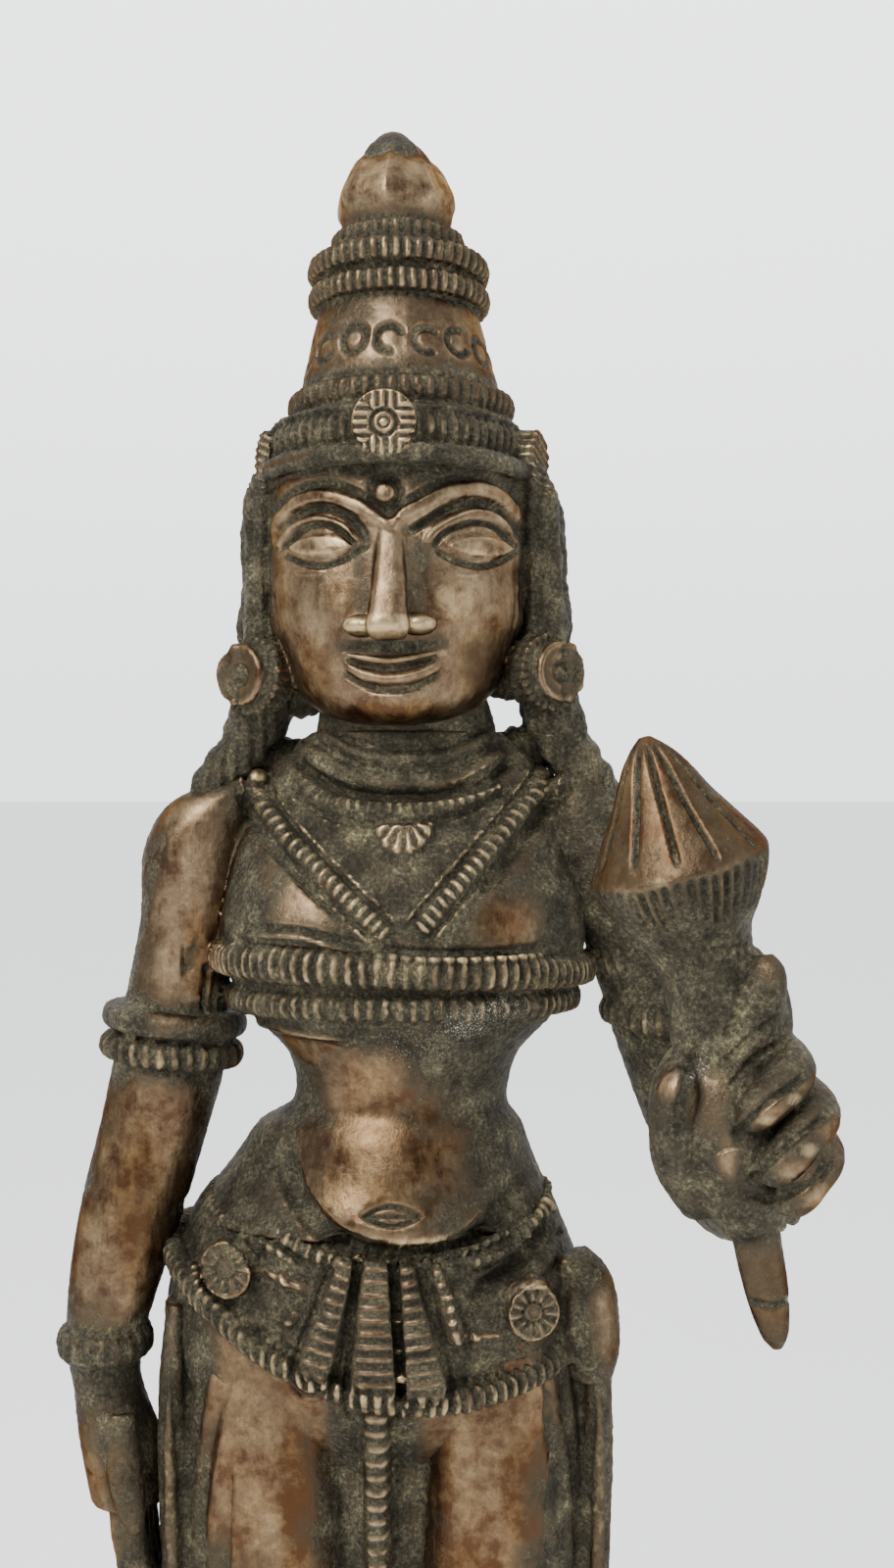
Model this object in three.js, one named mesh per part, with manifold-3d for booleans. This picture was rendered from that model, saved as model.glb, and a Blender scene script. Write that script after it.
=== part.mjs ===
// A standing figure of the goddess Lakshmi with a lotus bud, cast in bronze, on a low plinth of its own.
// Millimetres, +Z up. She faces -Y, so her left hand is at +X. The origin is the middle of the underside.
import * as THREE from "three";
import { mergeVertices } from "three/addons/utils/BufferGeometryUtils.js";
import Module from "manifold-3d";

const wasm = await Module();
wasm.setup();

// Heights over the table
const CROWN_TIP = 300;
const CROWN_FOOT = 266;
const FACE_TOP = 262;
const CHIN = 233.2;
const BREAST_BAND = 207;
const WAIST = 190.5;
const HIP = 168;
const KNEE = 99;
const HEM = 47;
const SOLE = 34;
const JOINT_GAP = 0.3;
const PLINTH_TOP = SOLE - JOINT_GAP;

// Middles, left to right: her hips are pushed to her right
const HEAD_X = 0.4;
const CROWN_X = 1.1;
const CROWN_LEAN = -0.02;
const HAIR_X = 1.1;
const CHEST_X = 1.2;
const HIPS_X = -1.6;

// Half widths
const FACE_HALF = 13.9;
const FINIAL_HALF = 6.6;
const CROWN_RING_HALF = 10.2;
const CROWN_BASE_HALF = 12.6;
const CHEST_HALF = 20.2;
const WAIST_HALF = 11.2;
const HIPS_HALF = 24;

// Raised hand and lotus
const FIST = [30.4, -45, 198.2];
const STEM_TIP = [33.7, -45.4, 179.8];
const BUD_FOOT = [26.4, -41.2, 213.4];
const BUD_TIP = [23.4, -47.4, 230.8];
const BUD_HALF = 7.6;

// Plinth
const SLAB_SIDE = 92;
const SLAB_HEIGHT = 10;
const SLAB_BEVEL = 1.2;
const DRUM_HALF = 42;
const PETALS = 12;

const BRONZE = { color: 0x6b5038, metalness: 0.85, roughness: 0.5 };
const DARK_BRONZE = { color: 0x4a4335, metalness: 0.8, roughness: 0.55 };

const X_AXIS = new THREE.Vector3(1, 0, 0);
const Y_AXIS = new THREE.Vector3(0, 1, 0);
const lerp = THREE.MathUtils.lerp;

function curve(points) {
  const corners = points.map((point) => new THREE.Vector3(...point));
  return new THREE.CatmullRomCurve3(corners, false, "catmullrom", 0.5);
}

// A closed skin over oval sections, each [x, y, z, half width, half depth]. frameAt gives, for the spine's
// direction at a section, the directions of its width and its depth.
function skin(sections, sides, frameAt) {
  const spine = curve(sections.map(([x, y, z]) => [x, y, z]));
  const geometry = new THREE.CylinderGeometry(1, 1, 1, sides, sections.length - 1);
  const position = geometry.attributes.position;
  for (let i = 0; i < position.count; i++) {
    const t = THREE.MathUtils.clamp(position.getY(i) + 0.5, 0, 1);
    const [x, y, z, width, depth] = sections[Math.round(t * (sections.length - 1))];
    const [across, ahead] = frameAt(spine.getTangent(t));
    const point = new THREE.Vector3(x, y, z);
    point.addScaledVector(across, position.getX(i) * width).addScaledVector(ahead, -position.getZ(i) * depth);
    position.setXYZ(i, point.x, point.y, point.z);
  }
  return geometry;
}

// Upright, with level sections
function column(sections, sides = 10) {
  return skin(sections, sides, () => [X_AXIS, Y_AXIS]);
}

// Along any line, with sections square to it; side is the direction of their width
function limb(sections, sides = 8, side = X_AXIS) {
  return skin(sections, sides, (tangent) => {
    const across = side.clone().addScaledVector(tangent, -side.dot(tangent)).normalize();
    return [across, new THREE.Vector3().crossVectors(tangent, across)];
  });
}

// Lets raised bands into a loft: each has its level along one axis, its half height and how proud it stands
function withBands(sections, axis, bands) {
  const rising = sections.at(-1)[axis] > sections[0][axis] ? 1 : -1;
  const sectionAt = (level, proud) => {
    const next = sections.findIndex((section) => (section[axis] - level) * rising > 0);
    const [before, after] = [sections[next - 1], sections[next]];
    const t = (level - before[axis]) / (after[axis] - before[axis]);
    return before.map((value, i) => lerp(value, after[i], t) + (i > 2 ? proud : 0));
  };
  const edges = bands.flatMap(({ level, half, proud }) => [
    sectionAt(level - half, 0),
    sectionAt(level, proud),
    sectionAt(level + half, 0),
  ]);
  const clear = (section) => bands.every(({ level, half }) => Math.abs(section[axis] - level) > half + 0.3);
  return [...sections.filter(clear), ...edges].sort((p, q) => (p[axis] - q[axis]) * rising);
}

function ellipsoid(centre, radii, sides = 10, rows = 6, turnAboutZ = 0) {
  const geometry = new THREE.SphereGeometry(1, sides, rows).rotateX(Math.PI / 2).scale(...radii);
  return geometry.rotateZ(turnAboutZ).translate(...centre);
}

// A bar of one thickness along a curve
function bar(points, radius, sides = 5, steps = 10) {
  const section = new THREE.Shape();
  for (let i = 0; i < sides; i++) {
    const angle = (2 * Math.PI * i) / sides;
    section[i ? "lineTo" : "moveTo"](radius * Math.cos(angle), radius * Math.sin(angle));
  }
  return new THREE.ExtrudeGeometry(section, { steps, bevelEnabled: false, extrudePath: curve(points) });
}

// A ring round the body, oval in plan, that dips in front
function belt(centre, halves, radius, dip) {
  const geometry = new THREE.TorusGeometry(1, 0.5, 3, 16);
  const position = geometry.attributes.position;
  for (let i = 0; i < position.count; i++) {
    const x = position.getX(i);
    const y = position.getY(i);
    const angle = Math.atan2(y, x);
    const out = (Math.hypot(x, y) - 1) * 2 * radius;
    const up = position.getZ(i) * 2 * radius + dip * Math.min(0, Math.sin(angle));
    position.setXYZ(
      i,
      centre[0] + (halves[0] + out) * Math.cos(angle),
      centre[1] + (halves[1] + out) * Math.sin(angle),
      centre[2] + up,
    );
  }
  return geometry;
}

// A short drum with its flat face looking along a direction
function drum(centre, direction, radius, thickness, sides) {
  const facing = new THREE.Vector3(...direction).normalize();
  const turn = new THREE.Quaternion().setFromUnitVectors(Y_AXIS, facing);
  const geometry = new THREE.CylinderGeometry(radius, radius * 1.1, thickness, sides);
  return geometry.applyQuaternion(turn).translate(...centre);
}

// Welds a geometry into a closed solid with its faces outward
function toSolid(geometry) {
  const bare = new THREE.BufferGeometry();
  bare.setAttribute("position", geometry.attributes.position.clone());
  bare.setIndex(geometry.index);
  const welded = mergeVertices(bare, 1e-4);
  const corners = welded.attributes.position;
  const corner = (i) => new THREE.Vector3().fromBufferAttribute(corners, i);
  const faces = [];
  let volume = 0;
  for (let i = 0; i < welded.index.count; i += 3) {
    const face = [0, 1, 2].map((k) => welded.index.getX(i + k));
    if (new Set(face).size < 3) continue;
    const [a, b, c] = face.map(corner);
    volume += a.dot(b.cross(c));
    faces.push(face);
  }
  const outward = volume > 0 ? faces : faces.map(([p, q, r]) => [p, r, q]);
  return new wasm.Manifold(new wasm.Mesh({
    numProp: 3,
    vertProperties: Float32Array.from(corners.array),
    triVerts: Uint32Array.from(outward.flat()),
  }));
}

// Joins overlapping pieces and fills the small pockets that they enclose
function joined(geometries) {
  const whole = geometries.map(toSolid).reduce((sum, piece) => sum.add(piece));
  return wasm.Manifold.compose(whole.decompose().filter((shell) => shell.volume() > 0));
}

function toMesh(solid, name, finish) {
  const result = solid.getMesh();
  const geometry = new THREE.BufferGeometry();
  geometry.setAttribute("position", new THREE.BufferAttribute(result.vertProperties, 3));
  geometry.setIndex(new THREE.BufferAttribute(result.triVerts, 1));
  geometry.computeVertexNormals();
  const mesh = new THREE.Mesh(geometry, new THREE.MeshStandardMaterial(finish));
  mesh.name = name;
  return mesh;
}

// Crown: bud finial, three thick rings, a cone and its foot ring, as a profile of [radius, height]
function crown() {
  const profile = [
    [0, CROWN_TIP],
    [2.7, CROWN_TIP - 1.8],
    [4.9, CROWN_TIP - 4.5],
    [FINIAL_HALF, CROWN_TIP - 7.3],
    [FINIAL_HALF - 0.2, CROWN_TIP - 10],
    [6.1, 288.7],
    [7.6, 287.8],
    [7.6, 286],
    [9.4, 285],
    [CROWN_RING_HALF, 283.9],
    [9.3, 282.3],
    [CROWN_RING_HALF, 280.7],
    [9.2, 279],
    [10.6, 271],
    [CROWN_BASE_HALF, 269],
    [CROWN_BASE_HALF, 267.4],
    [12, CROWN_FOOT],
    [12, FACE_TOP - 2],
    [0, FACE_TOP - 2],
  ];
  const points = profile.map(([radius, height]) => new THREE.Vector2(radius, height));
  const lean = new THREE.Matrix4().makeShear(0, 0, 0, 0, CROWN_LEAN, 0);
  const turned = new THREE.LatheGeometry(points, 16).rotateX(Math.PI / 2);
  return [turned.applyMatrix4(lean).translate(CROWN_X - CROWN_LEAN * CROWN_FOOT, 0, 0)];
}

// Diadem: a thick band round the brow, a rosette in front and one at each temple
function diadem() {
  const band = [
    [HEAD_X, -0.6, 266.8, 12.4, 12],
    [HEAD_X, -0.7, 265.8, 14, 13.7],
    [HEAD_X, -0.8, 262.3, 14.3, 14],
    [HEAD_X, -0.8, 261.4, 15, 14.6],
    [HEAD_X, -0.7, 260.4, 12.4, 11.4],
  ];
  const rosettes = [-1, 1].map((side) => drum([HAIR_X + side * 15, -1.6, 262.6], [side, -0.3, 0], 3.2, 2, 8));
  return [column(band, 16), drum([HEAD_X - 0.7, -14.8, 264], [0, -1, 0], 3.1, 1.6, 10), ...rosettes];
}

function head() {
  const skull = [
    [HEAD_X, -5, CHIN, 4.2, 4],
    [HEAD_X, -3.8, CHIN + 1.2, 7.6, 7.4],
    [HEAD_X, -2.2, CHIN + 4, 10.7, 10.2],
    [HEAD_X, -1.2, CHIN + 8, 12.7, 11.6],
    [HEAD_X, -0.8, CHIN + 13, FACE_HALF, 12.2],
    [HEAD_X, -0.6, CHIN + 20, FACE_HALF, 12.4],
    [HEAD_X, -0.6, CHIN + 25, FACE_HALF - 0.3, 12.4],
    [HEAD_X, -0.6, FACE_TOP, 13, 12],
  ];
  return [column(skull, 16)];
}

// Face: arched brows, bulging almond eyes under heavy lids, narrow nose, thin smiling lips, round chin
function face() {
  const middle = HEAD_X - 0.2;
  const nose = [
    [middle, -11.9, 253.6, 0.9, 0.9],
    [middle, -13, 250, 1.2, 1.3],
    [middle, -14.4, 246, 1.9, 1.8],
    [middle, -13.6, 244.1, 1.6, 1],
  ];
  const lip = [
    [-4.6, 0, 0.8, 0.3],
    [-2.2, -1.5, 0, 0.8],
    [0, -2, -0.2, 0.9],
    [2.2, -1.5, 0, 0.8],
    [4.6, 0, 0.8, 0.3],
  ];
  const lipAt = (height) => lip.map(([x, y, z, half]) => {
    return [middle + x, y - 10.9, height + z, half, half * 0.8];
  });
  const parts = [
    limb(nose, 6),
    limb(lipAt(241.4), 4, Y_AXIS),
    limb(lipAt(239.4), 4, Y_AXIS),
    ellipsoid([middle, -10.8, 236], [3.4, 2, 1.9], 8, 5),
    drum([middle - 0.5, -12.8, 259], [0, -1, 0.1], 1.7, 0.9, 8),
  ];
  for (const side of [-1, 1]) {
    const at = (points) => points.map(([x, ...rest]) => [middle + side * x, ...rest]);
    const lid = at([[3, -11.7, 252.1], [5.2, -11.9, 254.1], [8.6, -10.4, 254.1], [10.7, -8.3, 251.8]]);
    const brow = at([[0.8, -12.3, 255.2], [4.4, -12.3, 258.2], [9, -10.5, 257.9], [12, -6.8, 253.2]]);
    parts.push(ellipsoid([middle + side * 2.5, -12.9, 245.3], [2, 1.4, 1.2], 6, 4));
    parts.push(ellipsoid([middle + side * 6.7, -10.7, 252.2], [3.5, 1.5, 1.5], 10, 5, side * 0.42));
    parts.push(bar(lid, 0.45, 3, 4));
    parts.push(bar(brow, 0.6, 3, 5));
  }
  return parts;
}

// Hair: a knot behind the crown, wavy locks down each side to the shoulder, and curls on the nape
function hair() {
  const parts = [ellipsoid([HAIR_X, 8.6, 251.5], [13, 7.6, 11.5], 10, 5)];
  const lock = [
    [13.4, 264.4, 2.8],
    [15.4, 257, 2.7],
    [15.9, 249.5, 2.6],
    [15.3, 242.5, 2.9],
    [14.8, 236.8, 3.6],
    [17.8, 231, 2.6],
    [22, 226, 2.2],
  ];
  for (const side of [-1, 1]) {
    for (const [y, inward] of [[1, 0], [5.4, 1.2]]) {
      parts.push(limb(lock.map(([out, height, half], i) => [
        HAIR_X + side * (out - inward),
        y + 0.5 * (-1) ** i,
        height,
        half,
        2.5,
      ]), 5));
    }
  }
  for (const x of [-4.5, 0, 4.5]) {
    parts.push(limb([
      [HAIR_X + x, 10.4, 245, 2.6, 2.4],
      [HAIR_X + x, 10, 236, 2.6, 2.8],
      [HAIR_X + x * 1.3, 9.4, 228, 2.7, 2.6],
      [HAIR_X + x * 2, 8.8, 216.5, 1.2, 1],
    ], 6));
  }
  return parts;
}

function earrings() {
  return [-1, 1].flatMap((side) => {
    const out = [side * 0.8, -0.6, 0];
    const disc = drum([HAIR_X + side * 16, -3.2, 238.8], out, 4.2, 3.8, 10);
    return [disc, drum([HAIR_X + side * 17.6, -4.4, 238.8], out, 2.6, 0.9, 6)];
  });
}

// Trunk from the seat of the hips to the neck, with the two breast bands and the collar let in
function trunk() {
  const sections = [
    [HIPS_X + 0.4, 2.6, 152, 17, 10],
    [HIPS_X, 2.4, 159, 22.6, 14],
    [HIPS_X, 2.4, HIP, HIPS_HALF, 16],
    [HIPS_X - 0.4, 2.9, 178.6, 20.8, 14.8],
    [-1, 3, 185, 16, 12.4],
    [0.2, 2.2, 189, 12.8, 10.6],
    [1.3, 0.4, WAIST + 1.6, WAIST_HALF, 9.2],
    [1.3, -0.2, 197, 12.8, 9.6],
    [CHEST_X, -0.8, 202, 17.2, 11],
    [CHEST_X, -1.2, BREAST_BAND + 1.4, CHEST_HALF, 12.6],
    [CHEST_X, -0.8, 214, 19.8, 12.2],
    [1, 0.4, 220, 19, 10.6],
    [0.9, 1.4, 225, 16.8, 8.8],
    [0.8, 1.2, 230.4, 12.8, 8.3],
    [0.9, 0.2, 234, 9.4, 7.8],
    [0.8, 0, 241, 9, 7.8],
  ];
  const bands = [
    { level: BREAST_BAND - 4.3, half: 1.6, proud: 1.2 },
    { level: BREAST_BAND, half: 1.8, proud: 1.5 },
  ];
  return [column(withBands(sections, 2, bands), 16)];
}

function bodyForms() {
  const parts = [ellipsoid([CHEST_X, -2.8, 183.5], [11.6, 9.8, 9.4], 12, 6)];
  for (const side of [-1, 1]) {
    parts.push(ellipsoid([CHEST_X + side * 8.8, -6.6, 210.4], [8.8, 6.8, 7.2], 8, 6));
    parts.push(ellipsoid([HIPS_X + side * 10.5, 10, 168], [11, 9.6, 12.6], 8, 5));
  }
  return parts;
}

// Arm hanging at her right side, the hand against the hip
function hangingArm() {
  const arm = [
    [-16.4, 1.4, 227.4, 3, 4],
    [-19.8, 1.4, 224.6, 5.4, 5.8],
    [-22, 1.4, 219.6, 6, 6.3],
    [-23, 1.4, 212, 5.3, 6],
    [-24.2, 1.6, 204, 5.6, 5.9],
    [-25.4, 1.8, 195, 6.3, 6.2],
    [-27, 1.4, 188, 6.1, 6],
    [-29, 0.4, 180, 5.9, 5.7],
    [-30.8, -0.8, 172, 5.1, 5],
    [-31.8, -1.6, 165, 4.2, 4.4],
    [-31.5, -1.8, 160.5, 3.7, 4.6],
    [-30, -1.8, 154, 4.4, 5.2],
    [-29, -1.8, 148, 4.4, 5.3],
  ];
  const bands = [
    { level: 200, half: 1.7, proud: 2 },
    { level: 196.6, half: 1.7, proud: 1.8 },
    { level: 165.2, half: 1.8, proud: 1 },
  ];
  const parts = [column(withBands(arm, 2, bands), 9)];
  for (const [y, tip] of [[-5.2, 136.6], [-3, 133.8], [-0.6, 133.2], [1.8, 136]]) {
    parts.push(limb([
      [-29, y * 0.9, 151, 1.8, 1.4],
      [-28.4, y, 143, 1.8, 1.3],
      [-26.8, y, tip, 1.1, 0.9],
    ], 5));
  }
  parts.push(limb([
    [-29.4, -5.6, 157.5, 1.6, 1.5],
    [-28.2, -7.3, 151.5, 1.7, 1.5],
    [-27, -8, 146.5, 1, 0.9],
  ], 6));
  return parts;
}

// Arm raised at her left side: the elbow out and back, the forearm straight ahead
function raisedArm() {
  const upper = [
    [17.8, 1.4, 227, 3, 4],
    [21, 1.4, 224.4, 5.2, 5.8],
    [23.8, 1.6, 219, 6, 6.3],
    [27, 2, 211, 5.6, 6],
    [30.2, 2.6, 201, 6, 6.1],
    [34, 3, 191, 6.6, 6.4],
    [36.8, 3, 183.6, 6.6, 6.2],
    [37.6, 3, 178.4, 4, 3.8],
  ];
  const fore = [
    [37.8, 6.4, 180.4, 3.4, 3.4],
    [37.6, 2, 181.4, 6, 6],
    [36.6, -9, 183.2, 6.2, 6.1],
    [35.8, -20, 186.6, 5.6, 5.6],
    [35, -30, 190.2, 4.8, 4.8],
    [34.4, -37, 192.8, 4.4, 4.4],
    [33.4, -42, 195.4, 4.6, 4.8],
  ];
  const armlet = [{ level: 200, half: 1.6, proud: 1.4 }];
  const bracelet = [{ level: -33.4, half: 1.8, proud: 1.4 }];
  return [limb(withBands(upper, 2, armlet), 8), limb(withBands(fore, 1, bracelet), 9)];
}

// Her left fist: three fingers round the stem, the forefinger raised beside it, the thumb across
function fist() {
  const [x, y, z] = FIST;
  const parts = [ellipsoid([x - 1, y + 1.6, z], [6.8, 5.6, 8.4], 9, 5)];
  for (const [up, out] of [[4.2, -0.6], [0.2, 0.9], [-3.8, 0.4]]) {
    parts.push(limb([
      [x + 3, y + 3.6, z + up + 0.8, 1.9, 1.9],
      [x + 6 + out, y + 0.4, z + up + 0.4, 2.2, 2.2],
      [x + 5 + out, y - 3.4, z + up - 0.8, 2.2, 2.2],
      [x - 0.6, y - 5, z + up - 2.6, 1.8, 1.8],
    ], 6));
  }
  parts.push(limb([
    [x + 2.8, y + 0.4, z + 5, 2.3, 2.2],
    [x + 2.2, y - 0.6, z + 11.4, 2.3, 2.2],
    [x + 1.9, y - 0.8, z + 15, 1.3, 1.3],
  ], 6));
  parts.push(limb([
    [x - 3, y + 1, z - 5, 2.2, 2.2],
    [x - 5.4, y - 1.6, z - 0.4, 2.3, 2.2],
    [x - 4.8, y - 2.8, z + 5.4, 1.2, 1.2],
  ], 6));
  return parts;
}

// Lotus bud: a straight stem through the fist and a pointed bud, widest below its middle
function lotus() {
  const along = (from, to, profile) => profile.map(([t, radius]) => [
    ...from.map((value, i) => lerp(value, to[i], t)),
    radius,
    radius,
  ]);
  const stem = [[0, 0.5], [0.12, 1.6], [0.3, 2], [0.62, 2.4], [0.86, 3.4], [1.02, 5]];
  const bud = [[-0.02, 4.6], [0.16, 6.2], [0.37, BUD_HALF], [0.5, 6.7], [0.68, 4.9], [0.86, 2.6], [1, 0.8]];
  return [limb(along(STEM_TIP, BUD_FOOT, stem), 7), limb(along(BUD_FOOT, BUD_TIP, bud), 10)];
}

// Thick necklace with a half-disc pendant, and the garland that meets in a V between the breasts
function necklaces() {
  const necklace = [
    [-13.4, -1.6, 229.6],
    [-7.8, -7.8, 225],
    [1, -10.4, 223.2],
    [9.6, -8.4, 224.8],
    [17, -1.6, 229],
  ];
  const garland = [
    [-15.4, -0.8, 228.6],
    [-14.4, -6, 224],
    [-6, -12.6, 215.6],
    [0.8, -13.2, 210.4],
    [6.4, -12.8, 215.4],
    [15.4, -7, 223.2],
    [18, -0.8, 228.2],
  ];
  const pendant = drum([1.2, -11.8, 221.4], [0, -1, 0.2], 3, 1.4, 10);
  return [bar(necklace, 1.5, 4, 6), bar(garland, 1.3, 4, 8), pendant];
}

// Girdle: belts that dip in front, rosettes at the hips and hanging tassels
function girdle() {
  const parts = [
    belt([HIPS_X + 0.8, 1.4, 181.4], [17.8, 13.4], 1.4, 4),
    belt([HIPS_X, 1.8, 168.6], [HIPS_HALF, 16.4], 1.3, 6),
    drum([-16.8, -9.6, 173.8], [-0.5, -1, 0], 3, 3.4, 10),
    drum([14.2, -10.2, 170.6], [0.45, -1, 0], 2.7, 2.4, 10),
  ];
  const tassels = [
    [-3.4, -7.3, 163.4, 1.6],
    [-1, -1.3, 161.6, 2.3],
    [2, 4.3, 162, 1.8],
    [5, 7.4, 168.6, 1.2],
  ];
  for (const [top, foot, low, half] of tassels) {
    parts.push(limb([
      [top, -12.8, 178, 0.7, 0.9],
      [lerp(top, foot, 0.5), -14.6, lerp(178, low, 0.5), half * 0.75, 1.2],
      [foot, -14.8, low, half, 1.4],
    ], 5));
  }
  return parts;
}

// Legs under close-fitting cloth to the hem, ankles with rings, and feet
function legs() {
  return [-1, 1].flatMap((side) => {
    const lean = side < 0 ? -1.2 : -0.4;
    const leg = [
      [side * 11 + lean, 2.2, HIP, 10.8, 12.6],
      [side * 11.6 + lean, 0.4, 150, 11, 12.2],
      [side * 11.2 + lean, -1, 130, 10.2, 10.8],
      [side * 10.6 + lean * 0.6, -1.8, 112, 8.9, 9.3],
      [side * 10.3 + lean * 0.4, -2, KNEE, 8.1, 8.7],
      [side * 10, 0.2, 84, 7.5, 8.6],
      [side * 9.6, 1, 66, 6.4, 7.2],
      [side * 9.3, 0.8, HEM + 3, 6.4, 6.8],
      [side * 9.3, 0.8, HEM, 6.6, 7],
      [side * 9.3, 0.8, HEM - 0.6, 4.6, 5.1],
      [side * 9.2, 0.8, 41, 4.5, 5.2],
      [side * 9.2, 0.4, SOLE - 1, 5, 6],
    ];
    return [column(leg, 9), ...foot(side)];
  });
}

// A bare foot; the sole is cut flat afterwards
function foot(side) {
  const parts = [limb([
    [side * 9.2, 8.2, SOLE + 1.6, 2.4, 2.4],
    [side * 9.2, 5.6, SOLE + 2, 4, 3.8],
    [side * 9.4, -2, SOLE + 2.4, 4.6, 4.8],
    [side * 9.9, -10, SOLE + 1, 5.6, 3],
    [side * 10.3, -15, SOLE + 0.4, 5, 1.8],
  ], 8)];
  const toes = [[-4, -17.2, 1.8], [-1.4, -17.2, 1.5], [1.2, -16.4, 1.4], [3.6, -15, 1.3]];
  for (const [across, ahead, radius] of toes) {
    parts.push(ellipsoid([side * (10.4 + across), ahead, SOLE + 1], [radius, 2.4, radius], 5, 3));
  }
  return parts;
}

// Cloth between the legs, with the narrow pleat that hangs down its middle
function skirt() {
  const web = [
    [HIPS_X + 0.6, 1.6, 166, 10, 9],
    [-0.8, 1, 150, 9, 7.6],
    [-0.5, 0.6, 120, 8, 5.4],
    [-0.2, 0.8, 90, 8, 4.6],
    [0, 1, HEM + 1, 8, 4],
  ];
  const pleat = [
    [-1.2, -12.2, 164, 1.3, 2.4],
    [-1.1, -9.6, 148, 1.3, 4.4],
    [-0.6, -7.8, 125, 1.4, 5],
    [-0.2, -6.6, 98, 1.6, 5],
    [0, -6, HEM + 1, 2.6, 4.6],
  ];
  return [column(web, 8), column(pleat, 6)];
}

// Sash ends that hang pleated at the outside of each leg and flare at the foot
function sashes() {
  const parts = [limb([
    [20, -4, 175.4, 1.6, 2],
    [21.4, -4, 172, 3, 3.4],
    [22, -4, 166, 3.2, 4],
    [21.6, -4, 162, 2.6, 3],
  ], 6)];
  for (const side of [-1, 1]) {
    for (const [ahead, low, thick] of [[0, 58, 2.2], [4.6, 92, 1.8]]) {
      const clear = low < 60 ? 0 : 1.6;
      parts.push(limb([
        [side * 22.6 - 0.8, 2 - ahead, 170, 1.4, 3],
        [side * 23.2 - 0.6, 1.6 - ahead, 156, thick, 4.8],
        [side * (20.4 + clear) - 0.4, 2 - ahead, lerp(156, low, 0.5), thick, 4.8],
        [side * (18.6 + clear), 2.4 - ahead, low + 10, thick + 0.3, 5.8],
        [side * (19 + clear), 2.6 - ahead, low, thick * 0.8, 7.4],
      ], 5));
    }
  }
  return parts;
}

function figure() {
  const whole = joined([
    ...crown(),
    ...diadem(),
    ...head(),
    ...face(),
    ...hair(),
    ...earrings(),
    ...trunk(),
    ...bodyForms(),
    ...hangingArm(),
    ...raisedArm(),
    ...fist(),
    ...lotus(),
    ...necklaces(),
    ...girdle(),
    ...legs(),
    ...skirt(),
    ...sashes(),
  ]);
  const underSoles = new THREE.BoxGeometry(80, 80, 20).translate(0, 0, SOLE - 10);
  return toMesh(whole.subtract(toSolid(underSoles)), "figure", BRONZE);
}

// Plinth: a square slab and a round lotus drum, petals hanging below its waist and standing above it
function plinth() {
  const half = SLAB_SIDE / 2 - SLAB_BEVEL;
  const square = new THREE.Shape();
  square.moveTo(-half, -half).lineTo(half, -half).lineTo(half, half).lineTo(-half, half);
  const slab = new THREE.ExtrudeGeometry(square, {
    depth: SLAB_HEIGHT - 2 * SLAB_BEVEL,
    bevelThickness: SLAB_BEVEL,
    bevelSize: SLAB_BEVEL,
    bevelSegments: 1,
  }).translate(0, 0, SLAB_BEVEL);
  // Level, radius and petal depth, as shares of the drum
  const levels = [
    [-0.04, 0.96, 0.03],
    [0.12, 1, 0.06],
    [0.36, 0.88, 0.03],
    [0.5, 0.8, 0],
    [0.64, 0.85, 0.03],
    [0.9, 0.95, 0.05],
    [1, 0.87, 0],
  ];
  const rise = PLINTH_TOP - SLAB_HEIGHT;
  const petals = new THREE.CylinderGeometry(1, 1, 1, PETALS * 4, levels.length - 1);
  const position = petals.attributes.position;
  for (let i = 0; i < position.count; i++) {
    const [x, y, z] = [position.getX(i), position.getY(i), position.getZ(i)];
    const [level, share, depth] = levels[Math.round((y + 0.5) * (levels.length - 1))];
    const angle = Math.atan2(-z, x);
    const swell = depth * (Math.abs(Math.cos((angle * PETALS) / 2)) - 0.6);
    const radius = DRUM_HALF * (share + swell) * Math.hypot(x, z);
    position.setXYZ(i, radius * Math.cos(angle), radius * Math.sin(angle), SLAB_HEIGHT + rise * level);
  }
  return toMesh(joined([slab, petals]), "plinth", DARK_BRONZE);
}

const statue = new THREE.Group();
statue.add(figure(), plinth());

export default statue;
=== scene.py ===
"""A cast bronze goddess with a lotus bud, on a low plinth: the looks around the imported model.

Sizes in this file are millimetres unless a name or a unit says otherwise, and every finished piece is scaled
to metres. She faces -Y, so her left hand is at +X, and the middle of the plinth's underside is the origin.
Each piece is built of simple forms that are melted into one skin, relaxed, and then carved vertex by vertex.
"""

import math
from functools import reduce
from itertools import product

import bmesh
import bpy
import numpy as np
from bpy.props import FloatProperty, FloatVectorProperty, PointerProperty
from mathutils import Matrix, Vector


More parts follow.
